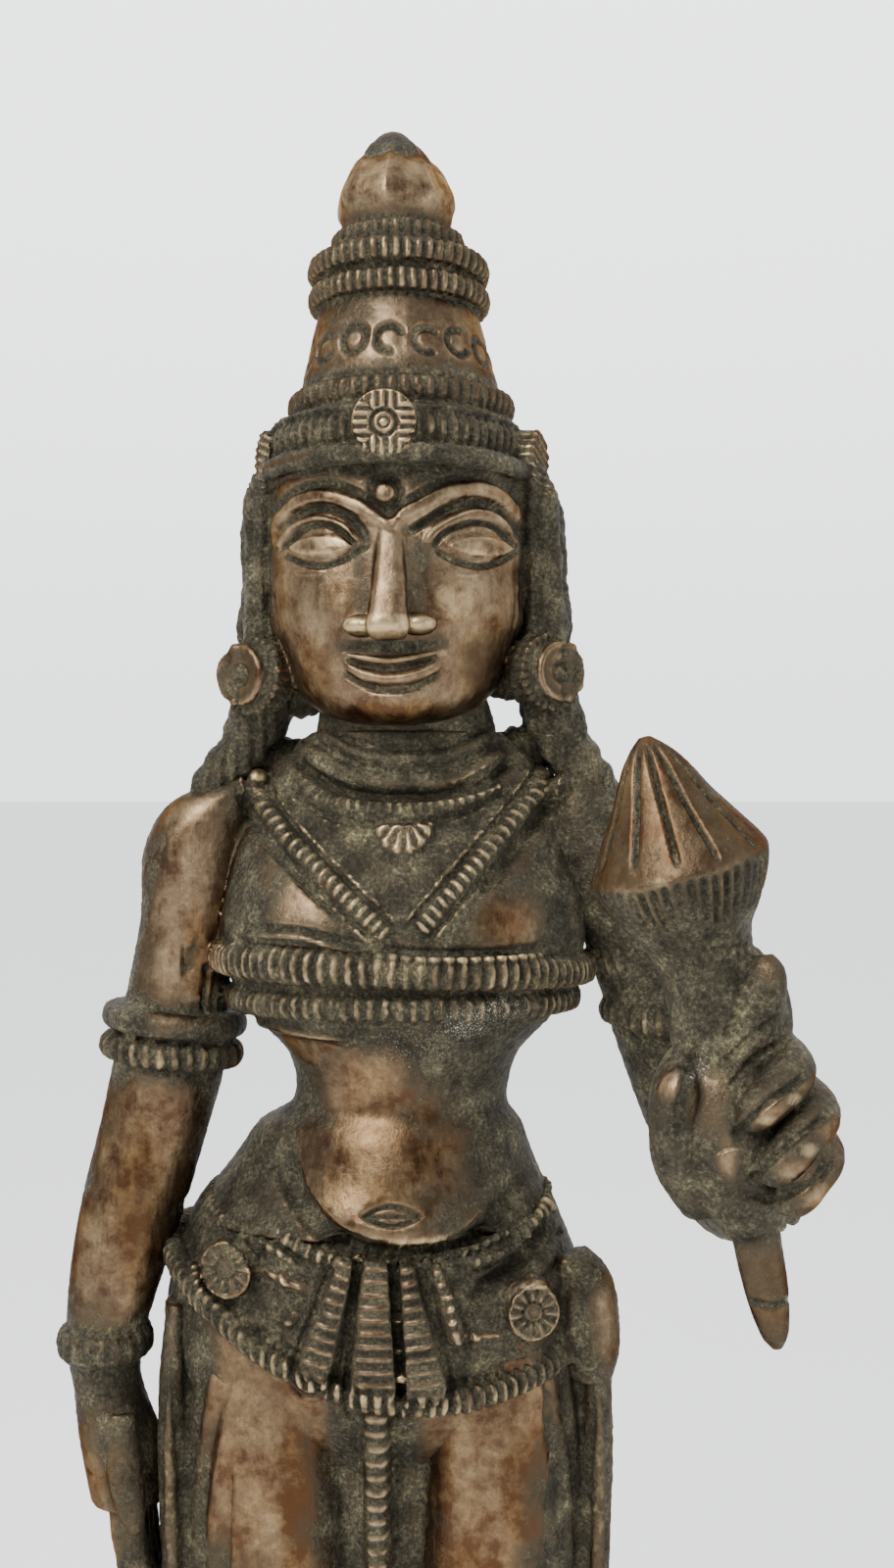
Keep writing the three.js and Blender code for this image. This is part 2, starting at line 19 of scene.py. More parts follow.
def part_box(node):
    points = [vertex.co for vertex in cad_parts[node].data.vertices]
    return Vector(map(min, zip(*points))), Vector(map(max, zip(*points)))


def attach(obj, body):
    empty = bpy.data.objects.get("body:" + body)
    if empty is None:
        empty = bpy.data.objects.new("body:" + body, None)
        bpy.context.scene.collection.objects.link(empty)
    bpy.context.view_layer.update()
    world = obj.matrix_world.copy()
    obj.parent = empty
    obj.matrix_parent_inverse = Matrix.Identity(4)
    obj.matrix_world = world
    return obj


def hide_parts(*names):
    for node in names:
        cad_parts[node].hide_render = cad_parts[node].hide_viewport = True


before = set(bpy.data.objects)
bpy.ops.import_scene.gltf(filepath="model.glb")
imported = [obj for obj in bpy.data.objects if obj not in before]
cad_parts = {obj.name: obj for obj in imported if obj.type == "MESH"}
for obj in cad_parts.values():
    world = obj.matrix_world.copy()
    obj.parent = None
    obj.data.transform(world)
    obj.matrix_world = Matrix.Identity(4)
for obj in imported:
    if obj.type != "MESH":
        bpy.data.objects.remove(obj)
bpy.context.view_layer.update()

bl_info = {
    "name": "Bronze Lotus Goddess",
    "version": (1, 0, 0),
    "blender": (4, 5, 0),
    "location": "View3D > Sidebar > Statue",
    "description": "Casts, chases and patinates the statue piece by piece",
    "category": "Add Mesh",
}

MM = 0.001
X_AXIS = Vector((1, 0, 0))
Y_AXIS = Vector((0, 1, 0))
Z_AXIS = Vector((0, 0, 1))
TAU = 2 * math.pi

# From the frame: heights that the forms hang on, and half the plinth's width
CROWN_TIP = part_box("figure")[1].z / MM
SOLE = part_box("figure")[0].z / MM
PLINTH_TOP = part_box("plinth")[1].z / MM
PLINTH_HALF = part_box("plinth")[1].x / MM

# Middles, left to right
HEAD_X = 0.5
CROWN_X = 1.1
HAIR_X = 1.1
CHEST_X = 1.2
HIPS_X = -1.6

# Where the eye is, a hand's length in front of her chest, and how wide it sees
CAMERA_AT = (6.16, -176, 226.85)
LENS = 36
SENSOR_HEIGHT = 36

# What carving writes on each vertex for the bronze to read
FIELDS = ("dirt", "wear", "stain", "dust")

# Triangles that each piece keeps
FACES = {
    "crown": 110000, "head": 190000, "torso": 190000, "lotus_hand": 130000, "girdle": 140000, "legs": 150000,
    "plinth": 80000,
}
# A closed skin with fewer vertices than this is a bubble
FEWEST_VERTICES = 100


# Forms

def spline(rows, steps):
    """Rows of numbers with smooth rows let in between them."""
    rows = np.array(rows, float)
    ends = np.vstack([2 * rows[0] - rows[1], rows, 2 * rows[-1] - rows[-2]])
    smooth_rows = []
    for before, start, end, after in zip(ends, ends[1:], ends[2:], ends[3:]):
        for t in np.arange(steps) / steps:
            smooth_rows.append(0.5 * (
                2 * start + (end - before) * t
                + (2 * before - 5 * start + 4 * end - after) * t ** 2
                + (3 * start - before - 3 * end + after) * t ** 3
            ))
    return np.array(smooth_rows + [rows[-1]])


def beside(direction):
    """The direction nearest to +X that lies square to this one."""
    return (X_AXIS - direction * X_AXIS.dot(direction)).normalized()


def oval(angle, power):
    """A point of the unit circle, pushed towards the corners where power is above 2."""
    return [math.copysign(abs(part) ** (2 / power), part) for part in (math.cos(angle), math.sin(angle))]


def rolled_grid(columns, rows, place, closed=False):
    """A grid rolled into a tube; place gives a point for an angle and a row.

    closed joins the last row to the first.
    """
    form = bmesh.new()
    bmesh.ops.create_grid(form, x_segments=columns, y_segments=rows, size=0.5)
    for vertex in form.verts:
        row = round((vertex.co.y + 0.5) * rows)
        angle = TAU * (vertex.co.x + 0.5)
        vertex.co = place(angle, row % rows if closed else row)
    bmesh.ops.remove_doubles(form, verts=form.verts, dist=1e-4)
    if not closed:
        bmesh.ops.holes_fill(form, edges=form.edges, sides=0)
    bmesh.ops.recalc_face_normals(form, faces=form.faces)
    return form


def loft(sections, sides=24, steps=4, level=False, power=2.0):
    """A closed skin over oval sections, each [x, y, z, half width, half depth].

    Sections lie level or square to the line; power above 2 squares their corners.
    """
    rows = spline(sections, steps)
    last = len(rows) - 1

    def place(angle, row):
        centre, width, depth = rows[row][:3], max(rows[row][3], 0.05), max(rows[row][4], 0.05)
        across, ahead = X_AXIS, Y_AXIS
        if not level:
            tangent = Vector(rows[min(row + 1, last)][:3] - rows[max(row - 1, 0)][:3]).normalized()
            across = beside(tangent)
            ahead = tangent.cross(across)
        c, s = oval(angle, power)
        return Vector(centre) + across * (c * width) + ahead * (s * depth)

    return rolled_grid(sides, last, place)


def ball(centre, radii):
    """A ball with a radius of its own along each axis."""
    form = bmesh.new()
    place = Matrix.Translation(centre) @ Matrix.Diagonal((*radii, 1))
    bmesh.ops.create_uvsphere(form, u_segments=32, v_segments=20, radius=1, matrix=place)
    return form


def disc(centre, facing, radius, thickness, foot=1.0):
    """A short drum with its flat face looking along facing; foot is how much wider it is behind."""
    form = bmesh.new()
    turn = Vector(facing).to_track_quat("Z", "Y").to_matrix().to_4x4()
    bmesh.ops.create_cone(
        form, cap_ends=True, segments=40, radius1=radius * foot, radius2=radius, depth=thickness,
        matrix=Matrix.Translation(centre) @ turn,
    )
    return form


def turned(centre, profile):
    """A lathe form: the profile, as [radius, height], is spun round the vertical through centre."""
    form = bmesh.new()
    corners = [form.verts.new((centre[0] + radius, centre[1], height)) for radius, height in profile]
    edges = [form.edges.new(pair) for pair in zip(corners, corners[1:])]
    bmesh.ops.spin(
        form, geom=corners + edges, cent=(centre[0], centre[1], 0), axis=Z_AXIS, angle=TAU, steps=96,
        use_merge=True,
    )
    bmesh.ops.remove_doubles(form, verts=form.verts, dist=1e-4)
    bmesh.ops.recalc_face_normals(form, faces=form.faces)
    return form


class Ring:
    """A cord round a limb, oval in plan, that may dip in front; notches are cut across it."""

    def __init__(
        self, centre, halves, tube, dip=0.0, dip_power=1.0, tilt=0.0, notches=0, cut=0.0, axis=Z_AXIS,
    ):
        self.halves, self.tube = halves, tube
        self.dip, self.dip_power, self.tilt = dip, dip_power, tilt
        self.notches, self.cut = notches, cut
        up = Vector(axis).normalized()
        across = beside(up)
        self.place = Matrix((across, up.cross(across), up)).transposed().to_4x4()
        self.place.translation = centre

    def level(self, angle):
        """Height of the cord's middle at an angle round the limb; -90 degrees is the front."""
        return -self.dip * np.clip(-np.sin(angle), 0, 1) ** self.dip_power + self.tilt * np.cos(angle)

    def form(self):
        sides = 14

        def place(angle, row):
            c, s = oval(TAU * row / sides, 2.4)
            out, up = self.tube[0] * c, self.tube[1] * s
            return self.place @ Vector((
                (self.halves[0] + out) * math.cos(angle),
                (self.halves[1] + out) * math.sin(angle),
                float(self.level(angle)) + up,
            ))

        return rolled_grid(120, sides, place, closed=True)

    def coordinates(self, points):
        """Angle, height above the cord's middle and distance out from it, for each point."""
        turn = np.array(self.place)
        seen = (points - turn[:3, 3]) @ turn[:3, :3]
        x = seen[:, 0] / self.halves[0]
        y = seen[:, 1] / self.halves[1]
        angle = np.arctan2(y, x)
        out = (np.hypot(x, y) - 1) * sum(self.halves) / 2
        return angle, seen[:, 2] - self.level(angle), out

    def carve(self, clay):
        """Notches the cord, and soils and rubs it."""
        angle, up, out = self.coordinates(clay.points)
        near = clip01(1.6 - np.abs(up) / self.tube[1]) * (np.abs(out) < self.tube[0] * 2.4)
        if self.notches:
            wander = 0.5 * noise(clay.points, 2.2, 5)
            wave = 0.5 - 0.5 * np.cos(self.notches * angle + wander)
            uneven = noise(clay.points, 1.6, 8)
            clay.offset -= near * (self.cut * (1 - wave) ** 2 - 0.16 * self.cut * uneven)
            clay.wear += near * clip01(out / self.tube[0]) * wave * (0.34 + 0.2 * uneven)
        clay.dirt += near * 0.25


# Clay: a skin of vertices with what is done to it

def clip01(values):
    """Values held between 0 and 1."""
    return np.clip(values, 0, 1)


def bell(values, middle, width, power=2):
    """A hump of height 1 at the middle; power above 2 flattens its top."""
    return np.exp(-((values - middle) / width) ** power)


def ease(low, high, values):
    """Smooth step from 0 at low to 1 at high."""
    t = clip01((values - low) / (high - low))
    return t * t * (3 - 2 * t)


def noise(points, size, seed):
    """Smooth noise from -1 to 1 with lumps of that size."""
    lattice = np.random.default_rng(seed).uniform(-1, 1, (32, 32, 32))
    place = points / size
    cell = np.floor(place).astype(int)
    share = place - cell
    share = share * share * (3 - 2 * share)
    total = np.zeros(len(points))
    for corner in product((0, 1), repeat=3):
        weight = np.prod(np.where(corner, share, 1 - share), axis=1)
        total += weight * lattice[tuple(((cell + corner) % 32).T)]
    return total


def along(u, v, path):
    """How far each point of a plane lies from a path, and how far along it."""
    best = np.full(len(u), 1e9)
    gone = np.zeros(len(u))
    start_length = 0.0
    for (u0, v0), (u1, v1) in zip(path, path[1:]):
        length = math.hypot(u1 - u0, v1 - v0)
        du, dv = (u1 - u0) / length, (v1 - v0) / length
        t = np.clip((u - u0) * du + (v - v0) * dv, 0, length)
        away = np.hypot(u - u0 - t * du, v - v0 - t * dv)
        closer = away < best
        best = np.where(closer, away, best)
        gone = np.where(closer, start_length + t, gone)
        start_length += length
    return best, gone


def mesh_of(name, form):
    """A mesh made of a form, which is used up."""
    mesh = bpy.data.meshes.new(name)
    form.to_mesh(mesh)
    form.free()
    return mesh


def added(name, data):
    """A new object in the scene."""
    item = bpy.data.objects.new(name, data)
    bpy.context.scene.collection.objects.link(item)
    return item


def modified(item):
    """A mesh of what an object's modifiers make of it."""
    graph = bpy.context.evaluated_depsgraph_get()
    return bpy.data.meshes.new_from_object(item.evaluated_get(graph))


def drop_bubbles(mesh):
    """Deletes the tiny closed skins that are left inside, where forms nearly meet."""
    block = bmesh.new()
    block.from_mesh(mesh)
    unseen = set(block.verts)
    while unseen:
        island = [unseen.pop()]
        for vertex in island:
            for edge in vertex.link_edges:
                other = edge.other_vert(vertex)
                if other in unseen:
                    unseen.remove(other)
                    island.append(other)
        if len(island) < FEWEST_VERTICES:
            bmesh.ops.delete(block, geom=island, context="VERTS")
    block.to_mesh(mesh)
    block.free()


class Clay:
    """A remeshed skin: points, normals, and the offset, dirt and wear that carving gives each vertex; in a
    few places the dirt also holds painted shade and the wear painted highlights.
    """

    def __init__(self, name, forms, relax):
        block = bmesh.new()
        for form in forms:
            part = mesh_of("form", form)
            block.from_mesh(part)
            bpy.data.meshes.remove(part)
        rough = mesh_of("rough", block)
        holder = added("rough", rough)
        melt = holder.modifiers.new("one skin", "REMESH")
        melt.mode = "VOXEL"
        melt.voxel_size = getattr(bpy.context.scene.statue_sizes, name + "_skin") / MM
        self.mesh = modified(holder)
        self.mesh.name = name
        bpy.data.objects.remove(holder)
        bpy.data.meshes.remove(rough)
        self.name = name
        self.grain = 1.0
        self.points = self.read("vertices", "co", 3)
        self.edges = self.read("edges", "vertices", 2, int)
        self.degree = np.bincount(self.edges.ravel(), minlength=len(self.points)).astype(float)
        # Smoothing steps, each with a little more than its pull taken back, so the skin doesn't shrink
        for _ in range(relax):
            self.points += 0.5 * (self.averaged(self.points) - self.points)
            self.points -= 0.52 * (self.averaged(self.points) - self.points)
        self.write()
        self.offset, self.dirt, self.wear, self.stain, self.dust = np.zeros((5, len(self.points)))

    def read(self, collection, field, width, kind=float):
        """One row of numbers for each item of the mesh."""
        items = getattr(self.mesh, collection)
        values = np.zeros(len(items) * width, np.int32 if kind is int else np.float32)
        items.foreach_get(field, values)
        return values.reshape(-1, width).astype(kind)

    def write(self):
        """Gives the mesh its points, and reads the normals that follow from them."""
        self.mesh.vertices.foreach_set("co", self.points.astype(np.float32).ravel())
        self.mesh.update()
        self.normals = self.read("vertex_normals", "vector", 3)

    def averaged(self, values):
        """Each vertex's mean over its neighbours."""
        first, second = self.edges.T
        count = len(self.points)
        columns = values.reshape(count, -1).T
        means = [
            np.bincount(first, column[second], count) + np.bincount(second, column[first], count)
            for column in columns
        ]
        return (np.array(means) / self.degree).T.reshape(values.shape)

    def hollows(self, times):
        """How deep each vertex lies under its surroundings, in millimetres; ridges are below zero."""
        spread = self.points.copy()
        for _ in range(times):
            spread = self.averaged(spread)
        return np.einsum("ij,ij->i", spread - self.points, self.normals)

    def seen(self, depth):
        """Where each point shows, left to right and in height, on an upright plane at that depth."""
        x, y, z = self.points.T
        scale = (depth - CAMERA_AT[1]) / (y - CAMERA_AT[1])
        return CAMERA_AT[0] + (x - CAMERA_AT[0]) * scale, CAMERA_AT[2] + (z - CAMERA_AT[2]) * scale

    def press(self):
        """Moves the skin by the offset along its normals, and starts a new one."""
        self.points += self.normals * self.offset[:, None]
        self.offset[:] = 0
        self.write()

    def follow(self, u, v, path, near, reach):
        """The points within reach of a smooth path, and how far off and along it they lie."""
        low, high = np.min(path, axis=0) - reach, np.max(path, axis=0) + reach
        where = np.flatnonzero(near & (u > low[0]) & (u < high[0]) & (v > low[1]) & (v < high[1]))
        return (where, *along(u[where], v[where], spline(path, 5)))

    def stroke(self, u, v, path, half, height, near, dirt=0.0, wear=0.0, flat=False):
        """A rounded ridge, or a groove where the height is below zero, along a smooth path."""
        where, distance, gone = self.follow(u, v, path, near, half * 2)
        if not len(where):
            return
        ends = ease(-0.2 * half, half, gone) * ease(-0.2 * half, half, gone.max() - gone)
        shape = clip01(1 - (distance / half) ** (4 if flat else 2)) ** 1.2 * (0.3 + 0.7 * ends)
        self.offset[where] += height * shape
        self.dirt[where] += dirt * clip01(1.5 - distance / half)
        self.wear[where] += wear * shape

    def cord(self, u, v, path, half, height, near, pitch, cut, wear, border=0.0):
        """A notched cord laid on the skin along a path, in a groove that dirt has filled."""
        where, distance, gone = self.follow(u, v, path, near, half * 2)
        if not len(where):
            return
        ends = ease(0, half, gone) * ease(0, half, gone.max() - gone)
        share = clip01(1 - (distance / half) ** 2)
        place = gone + 0.1 * noise(self.points[where], 1.7, 6)
        wave = 0.5 - 0.5 * np.cos(TAU * place / pitch)
        self.offset[where] += ends * (height * np.sqrt(share) - cut * (1 - wave) ** 1.5 * share ** 0.4)
        self.offset[where] -= ends * 0.28 * bell(distance, 1.2 * half, 0.3 * half)
        self.wear[where] += wear * wave * share
        self.dirt[where] += 0.35 * ends * clip01(1.6 - distance / half)
        grains = 0.5 + 0.5 * noise(self.points[where], 0.5, 7)
        line = ends * bell(distance, 1.55 * half, 0.26 * half) * grains
        self.offset[where] += border * line
        self.wear[where] += border * line

    def dab(self, field, *spots):
        """Adds to dirt, wear, stain or dust in soft balls with ragged edges, or takes it away.

        Each spot is its middle, its radii and the amount.
        """
        for centre, radii, amount in spots:
            near = np.flatnonzero(np.all(np.abs(self.points - centre) < np.array(radii) * 1.7, axis=1))
            points = self.points[near]
            reach = np.linalg.norm((points - centre) / radii, axis=1)
            reach += 0.25 * noise(points, 3.1, 11) + 0.12 * noise(points, 1.1, 12)
            getattr(self, field)[near] += amount * (1 - ease(0.4, 1.3, reach))

    def roughen(self):
        """Casting grain in the dirty places and faint hammer marks everywhere."""
        fine = noise(self.points, 0.42, 1) + 0.6 * noise(self.points, 0.95, 2)
        broad = noise(self.points, 4.2, 3)
        height = bpy.context.scene.statue_sizes.casting_grain / MM
        self.offset += self.grain * height * fine * (0.18 + clip01(self.dirt)) + 0.05 * broad

    def finish(self, slot, node):
        """Presses, ages and thins the skin, and makes it a piece of the statue."""
        self.roughen()
        self.press()
        # Nothing reaches below the surface that she stands on
        self.points[:, 2] = np.maximum(self.points[:, 2], 0)
        self.write()
        # Hollows gather dirt, the narrow ones more than the wide; ridges are rubbed where dirt is thin
        close = self.hollows(3)
        wide = self.hollows(18)
        self.dirt += 2.6 * np.clip(close, -0.12, 0.2) + 0.8 * np.clip(wide, -0.4, 0.6)
        self.wear *= clip01(0.55 - 3.5 * close)
        self.wear += clip01(-2.6 * close - 0.06) * 0.7 + clip01(-0.55 * wide - 0.15) * 0.35
        self.wear *= clip01(1.9 - 1.1 * self.dirt)
        for field in FIELDS:
            layer = self.mesh.attributes.new(field, "FLOAT", "POINT")
            layer.data.foreach_set("value", clip01(getattr(self, field)).astype(np.float32))
        piece = added(self.name, self.mesh)
        triangles = sum(len(polygon.vertices) - 2 for polygon in self.mesh.polygons)
        thin = piece.modifiers.new("thin", "DECIMATE")
        thin.ratio = min(1, FACES[self.name] / triangles)
        piece.data = modified(piece)
        piece.data.name = self.name
        piece.modifiers.clear()
        drop_bubbles(piece.data)
        piece.data.transform(Matrix.Scale(MM, 4))
        piece.data.polygons.foreach_set("use_smooth", [True] * len(piece.data.polygons))
        piece.data.update()
        piece.data.materials.clear()
        piece.data.materials.append(bronze(slot))
        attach(piece, "root")
        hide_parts(node)
        print(f"{self.name}: {triangles} triangles cast, {len(piece.data.polygons)} faces kept")


# Finish

class Wiring:
    """Short words for joining shader nodes."""

    def __init__(self, tree):
        self.tree = tree
        tree.nodes.clear()

    def node(self, kind, inputs=(), **settings):
        node = self.tree.nodes.new(kind)
        for name, value in settings.items():
            setattr(node, name, value)
        for key, value in dict(inputs).items():
            if isinstance(value, bpy.types.NodeSocket):
                self.tree.links.new(value, node.inputs[key])
            else:
                node.inputs[key].default_value = value
        return node

    def math(self, operation, first, second, clamp=False):
        node = self.node("ShaderNodeMath", {0: first, 1: second}, operation=operation, use_clamp=clamp)
        return node.outputs[0]

    def total(self, *terms):
        """Sum of terms, each a value or a pair of value and factor."""
        parts = [self.math("MULTIPLY", *term) if isinstance(term, tuple) else term for term in terms]
        return reduce(lambda first, second: self.math("ADD", first, second), parts)

    def product(self, *factors):
        return reduce(lambda first, second: self.math("MULTIPLY", first, second), factors)

    def ramp(self, value, stops):
        node = self.node("ShaderNodeValToRGB", {0: value})
        elements = node.color_ramp.elements
        while len(elements) < len(stops):
            elements.new(0.5)
        for element, (position, color) in zip(elements, stops):
            element.position = position
            element.color = (*color, 1)
        return node.outputs[0]

    def level(self, value, low, high):
        """Smooth step from 0 at low to 1 at high."""
        inputs = {0: value, 1: low, 2: high}
        return self.node("ShaderNodeMapRange", inputs, interpolation_type="SMOOTHSTEP").outputs[0]

    def blend(self, share, first, second):
        node = self.node("ShaderNodeMix", {0: share, 6: first, 7: second}, data_type="RGBA")
        return node.outputs[2]

    def tinted(self, color, tint):
        inputs = {0: 1.0, 6: color, 7: (*tint, 1)}
        return self.node("ShaderNodeMix", inputs, data_type="RGBA", blend_type="MULTIPLY").outputs[2]

    def grain(self, place, scale, detail, roughness=0.6, distortion=0.0):
        """Fractal noise round 0.5."""
        inputs = {"Vector": place, "Scale": scale, "Detail": detail}
        inputs |= {"Roughness": roughness, "Distortion": distortion}
        return self.node("ShaderNodeTexNoise", inputs).outputs[0]


def bronze(slot):
    """Old bronze: copper brown where it is rubbed, brassy on the ridges, green-grey grime in the hollows.
    Painted shade in the dirt field darkens it, and painted highlights in the wear field brighten it.
    """
    name = slot + " patina"
    if name in bpy.data.materials:
        return bpy.data.materials[name]
    colors = bpy.context.scene.statue_finish
    material = bpy.data.materials.new(name)
    material.use_nodes = True
    w = Wiring(material.node_tree)
    place = w.node("ShaderNodeTexCoord").outputs["Object"]
    dirt, wear, stain, dust = (
        w.node("ShaderNodeAttribute", attribute_name=field).outputs["Fac"] for field in FIELDS
    )

    # Patterns, from broad clouds to single grains
    cloud = w.grain(place, 120, 5, 0.62, 0.5)
    fleck = w.grain(place, 560, 5, 0.65, 0.3)
    grit = w.grain(place, 2400, 3, 0.7)
    sand = w.grain(place, 5600, 2, 0.6)
    smear = w.grain(place, 210, 6, 0.72, 0.25)
    upright = w.node("ShaderNodeMapping", {"Vector": place, "Scale": (1, 1, 0.14)}).outputs[0]
    streak = w.grain(upright, 1100, 4, 0.7, 0.2)

    # Bare bronze, in blotches
    tone = w.total((cloud, 0.24), (fleck, 0.3), (smear, 0.36), (streak, 0.1))
    tone = w.total((tone, 1.4), -0.2, (stain, -0.12), (wear, 0.06))
    copper = w.ramp(tone, [
        (0.38, tuple(colors.blotch)),
        (0.45, tuple(0.5 * (a + b) for a, b in zip(colors.blotch, colors.copper))),
        (0.51, tuple(colors.copper)),
        (0.61, tuple(colors.rubbed)),
    ])
    copper = w.blend(w.level(stain, -0.1, 0.7), copper, w.tinted(copper, colors.warmth))
    spots = w.level(w.grain(place, 1000, 4, 0.65), 0.53, 0.66)
    spots = w.product(spots, w.total((stain, 0.8), 0.2), 0.8)
    copper = w.blend(spots, copper, (*colors.blotch, 1))

    # Crust of dirt, darkest where it is deepest
    soot = w.total((grit, 0.36), (sand, 0.2), (w.grain(place, 300, 3, 0.6), 0.44))
    crust = w.ramp(soot, [
        (0.4, tuple(0.4 * c for c in colors.grime)),
        (0.5, tuple(colors.grime)),
        (0.59, tuple(colors.verdigris)),
        (0.69, tuple(colors.dust)),
    ])
    deep = w.level(w.total(dirt, (fleck, 0.4)), 1.25, 2)
    crust = w.blend(w.product(deep, 0.7), crust, tuple(0.25 * c for c in colors.grime) + (1,))

    # What lies over what, with ragged edges: bronze, film, crust, rubbed ridges, dust
    amount = w.total(dirt, (fleck, 0.7), (cloud, 0.9), (grit, 0.5), -1.05)
    film = w.level(amount, -0.15, 0.55)
    grimy = w.level(amount, 0.34, 0.9)
    polished = w.product(w.level(w.total(wear, (fleck, 0.9), -0.45), 0.25, 0.9), 0.7)
    color = w.blend(w.product(film, 0.85), copper, (*colors.film, 1))
    color = w.blend(grimy, color, crust)
    color = w.blend(polished, color, (*colors.brass, 1))
    specks = w.product(w.level(sand, 0.72, 0.8), w.level(dirt, 0.4, 0.9), 0.12)
    powder = w.product(w.level(w.total(sand, (dust, 0.2)), 0.66, 0.8), dust)
    color = w.blend(w.math("ADD", specks, powder, clamp=True), color, (*colors.white_dust, 1))

    dull = w.math("SUBTRACT", grimy, polished, clamp=True)
    metal = w.total((dull, -0.65), 0.95)
    rough = w.total((dull, 0.22), (fleck, 0.2), (film, 0.06), (streak, 0.5), 0.01)
    height = w.total(w.product(grit, w.total(dull, 0.14)), (fleck, 0.4), (streak, 0.22))
    marks = bpy.context.scene.statue_sizes.tool_marks
    bump = w.node("ShaderNodeBump", {"Height": height, "Strength": 0.7, "Distance": marks})
    shader = w.node("ShaderNodeBsdfPrincipled", {
        "Base Color": color, "Metallic": metal, "Roughness": rough, "Normal": bump.outputs[0],
        "Specular Tint": (0.35, 0.3, 0.26, 1), "Specular IOR Level": 0.35,
    })
    w.node("ShaderNodeOutputMaterial", {"Surface": shader.outputs[0]})
    return material


# Crown

CONE_SEALS = 16
SEAL_LEVEL = 274.1
SEAL_RADIUS = 1.42
# How far the row is turned round the cone, in seals
SEAL_TURN = 0.26


def crown_rings():
    """The notched rings of the cone and its foot, and the plain lines beside the lowest."""
    return [
        Ring((CROWN_X - left, 0, height), (radius, radius), tube, notches=notches, cut=cut)
        for left, height, radius, tube, notches, cut in (
            (0.4, 287, 6.6, (0.95, 1.15), 38, 0.4), (0.35, 283.9, 9.1, (1.15, 1.35), 50, 0.6),
            (0.3, 280.7, 9.2, (1.05, 1.3), 52, 0.55), (0.05, 268.6, 11.6, (1.15, 1.35), 56, 0.4),
            (0.02, 266.7, 12.2, (0.5, 0.35), 0, 0), (0.1, 270.6, 10.5, (0.45, 0.3), 0, 0),
        )
    ]


def carve_cone(clay):
    """Round seals punched in a row round the cone, each a ring with a dot, some of them open on one side."""
    x, y, z = clay.points.T
    angle = np.arctan2(y, x - CROWN_X)
    radius = np.hypot(y, x - CROWN_X)
    turn = angle * CONE_SEALS / TAU + SEAL_TURN
    index = np.round(turn)
    across = (turn - index) * TAU / CONE_SEALS * radius
    lift = z - SEAL_LEVEL - 0.2 * np.sin(index * 2.3)
    away = np.hypot(across, lift)
    opening = np.arctan2(lift, across) - 0.5 * np.sin(index * 5.1)
    closed = 1 - 0.85 * ease(0.6, 0.8, np.cos(opening)) * ((index + 5) % 4 > 0)
    on_cone = (np.abs(lift) < 2.4) & (radius > 8)
    ring = bell(away, SEAL_RADIUS, 0.4) * closed * on_cone
    clay.offset -= 0.5 * ring
    clay.dirt += 0.8 * ring
    clay.wear += 0.25 * bell(away, 0, 0.6) * on_cone


def build_crown():
    tip = CROWN_TIP
    profile = spline([
        [0, tip], [1.3, tip - 0.4], [2.8, tip - 1.8], [4.9, tip - 4.5], [6.3, tip - 7.2], [6.6, tip - 9],
        [6, tip - 11.2], [6.2, 288], [7, 286.6], [8.6, 285.2], [9, 283], [8.7, 280], [9.1, 278.6],
        [9.9, 275.5], [10.9, 271.4], [11.2, 269.4], [11.6, 267.4], [12, 265.6], [11.8, 262], [0, 261.6],
    ], 4)
    profile[:, 0] = np.clip(profile[:, 0], 0, None)
    body = turned((0, 0), profile)
    # It leans to her right as it rises
    lean, foot = -0.028, 266
    turn = Matrix(((1, 0, lean, CROWN_X - lean * foot), (0, 1, 0, 0), (0, 0, 1, 0), (0, 0, 0, 1)))
    bmesh.ops.transform(body, verts=body.verts, matrix=turn)
    rings = crown_rings()
    clay = Clay("crown", [body] + [ring.form() for ring in rings], 2)
    z = clay.points[:, 2]
    clay.dirt += 0.52 - 0.46 * ease(288.6, 290.6, z) - 0.3 * ease(271.4, 272.6, z) * (1 - ease(277.6, 279, z))
    # The bud on top was filed flat in facets, and only its foot is rubbed
    angle = np.arctan2(clay.points[:, 1], clay.points[:, 0] - CROWN_X)
    facet = np.abs((angle * 8 / TAU + 0.3) % 1 - 0.5)
    bud = ease(289.4, 291, z)
    clay.offset += bud * ease(299.5, 296, z) * (0.45 * (2 * facet) ** 2 - 0.2)
    clay.offset -= 0.25 * bell(z, 296.4, 0.8)
    clay.wear += 0.6 * bud * ease(296, 294.8, z)
    clay.dirt += 0.3 * ease(295.4, 296.4, z)
    for ring in rings:
        ring.carve(clay)
    carve_cone(clay)
    clay.dab(
        "dirt", ((CROWN_X - 1, -4, 297.5), (3.4, 6, 2.4), 0.45),
        ((CROWN_X - 6, -8, 277), (4, 5, 2.5), 0.35),
    )
    clay.offset += 0.12 * noise(clay.points, 3.4, 21) * ease(288, 291, z)
    clay.finish("bronze", "figure")


# Head: skull, face, diadem, hair and earrings

FACE_X = 0.5
NOSE_X = 0.1
# Face strokes lie on an upright plane through the tip of her nose, as the eye sees them
FACE_DEPTH = -16
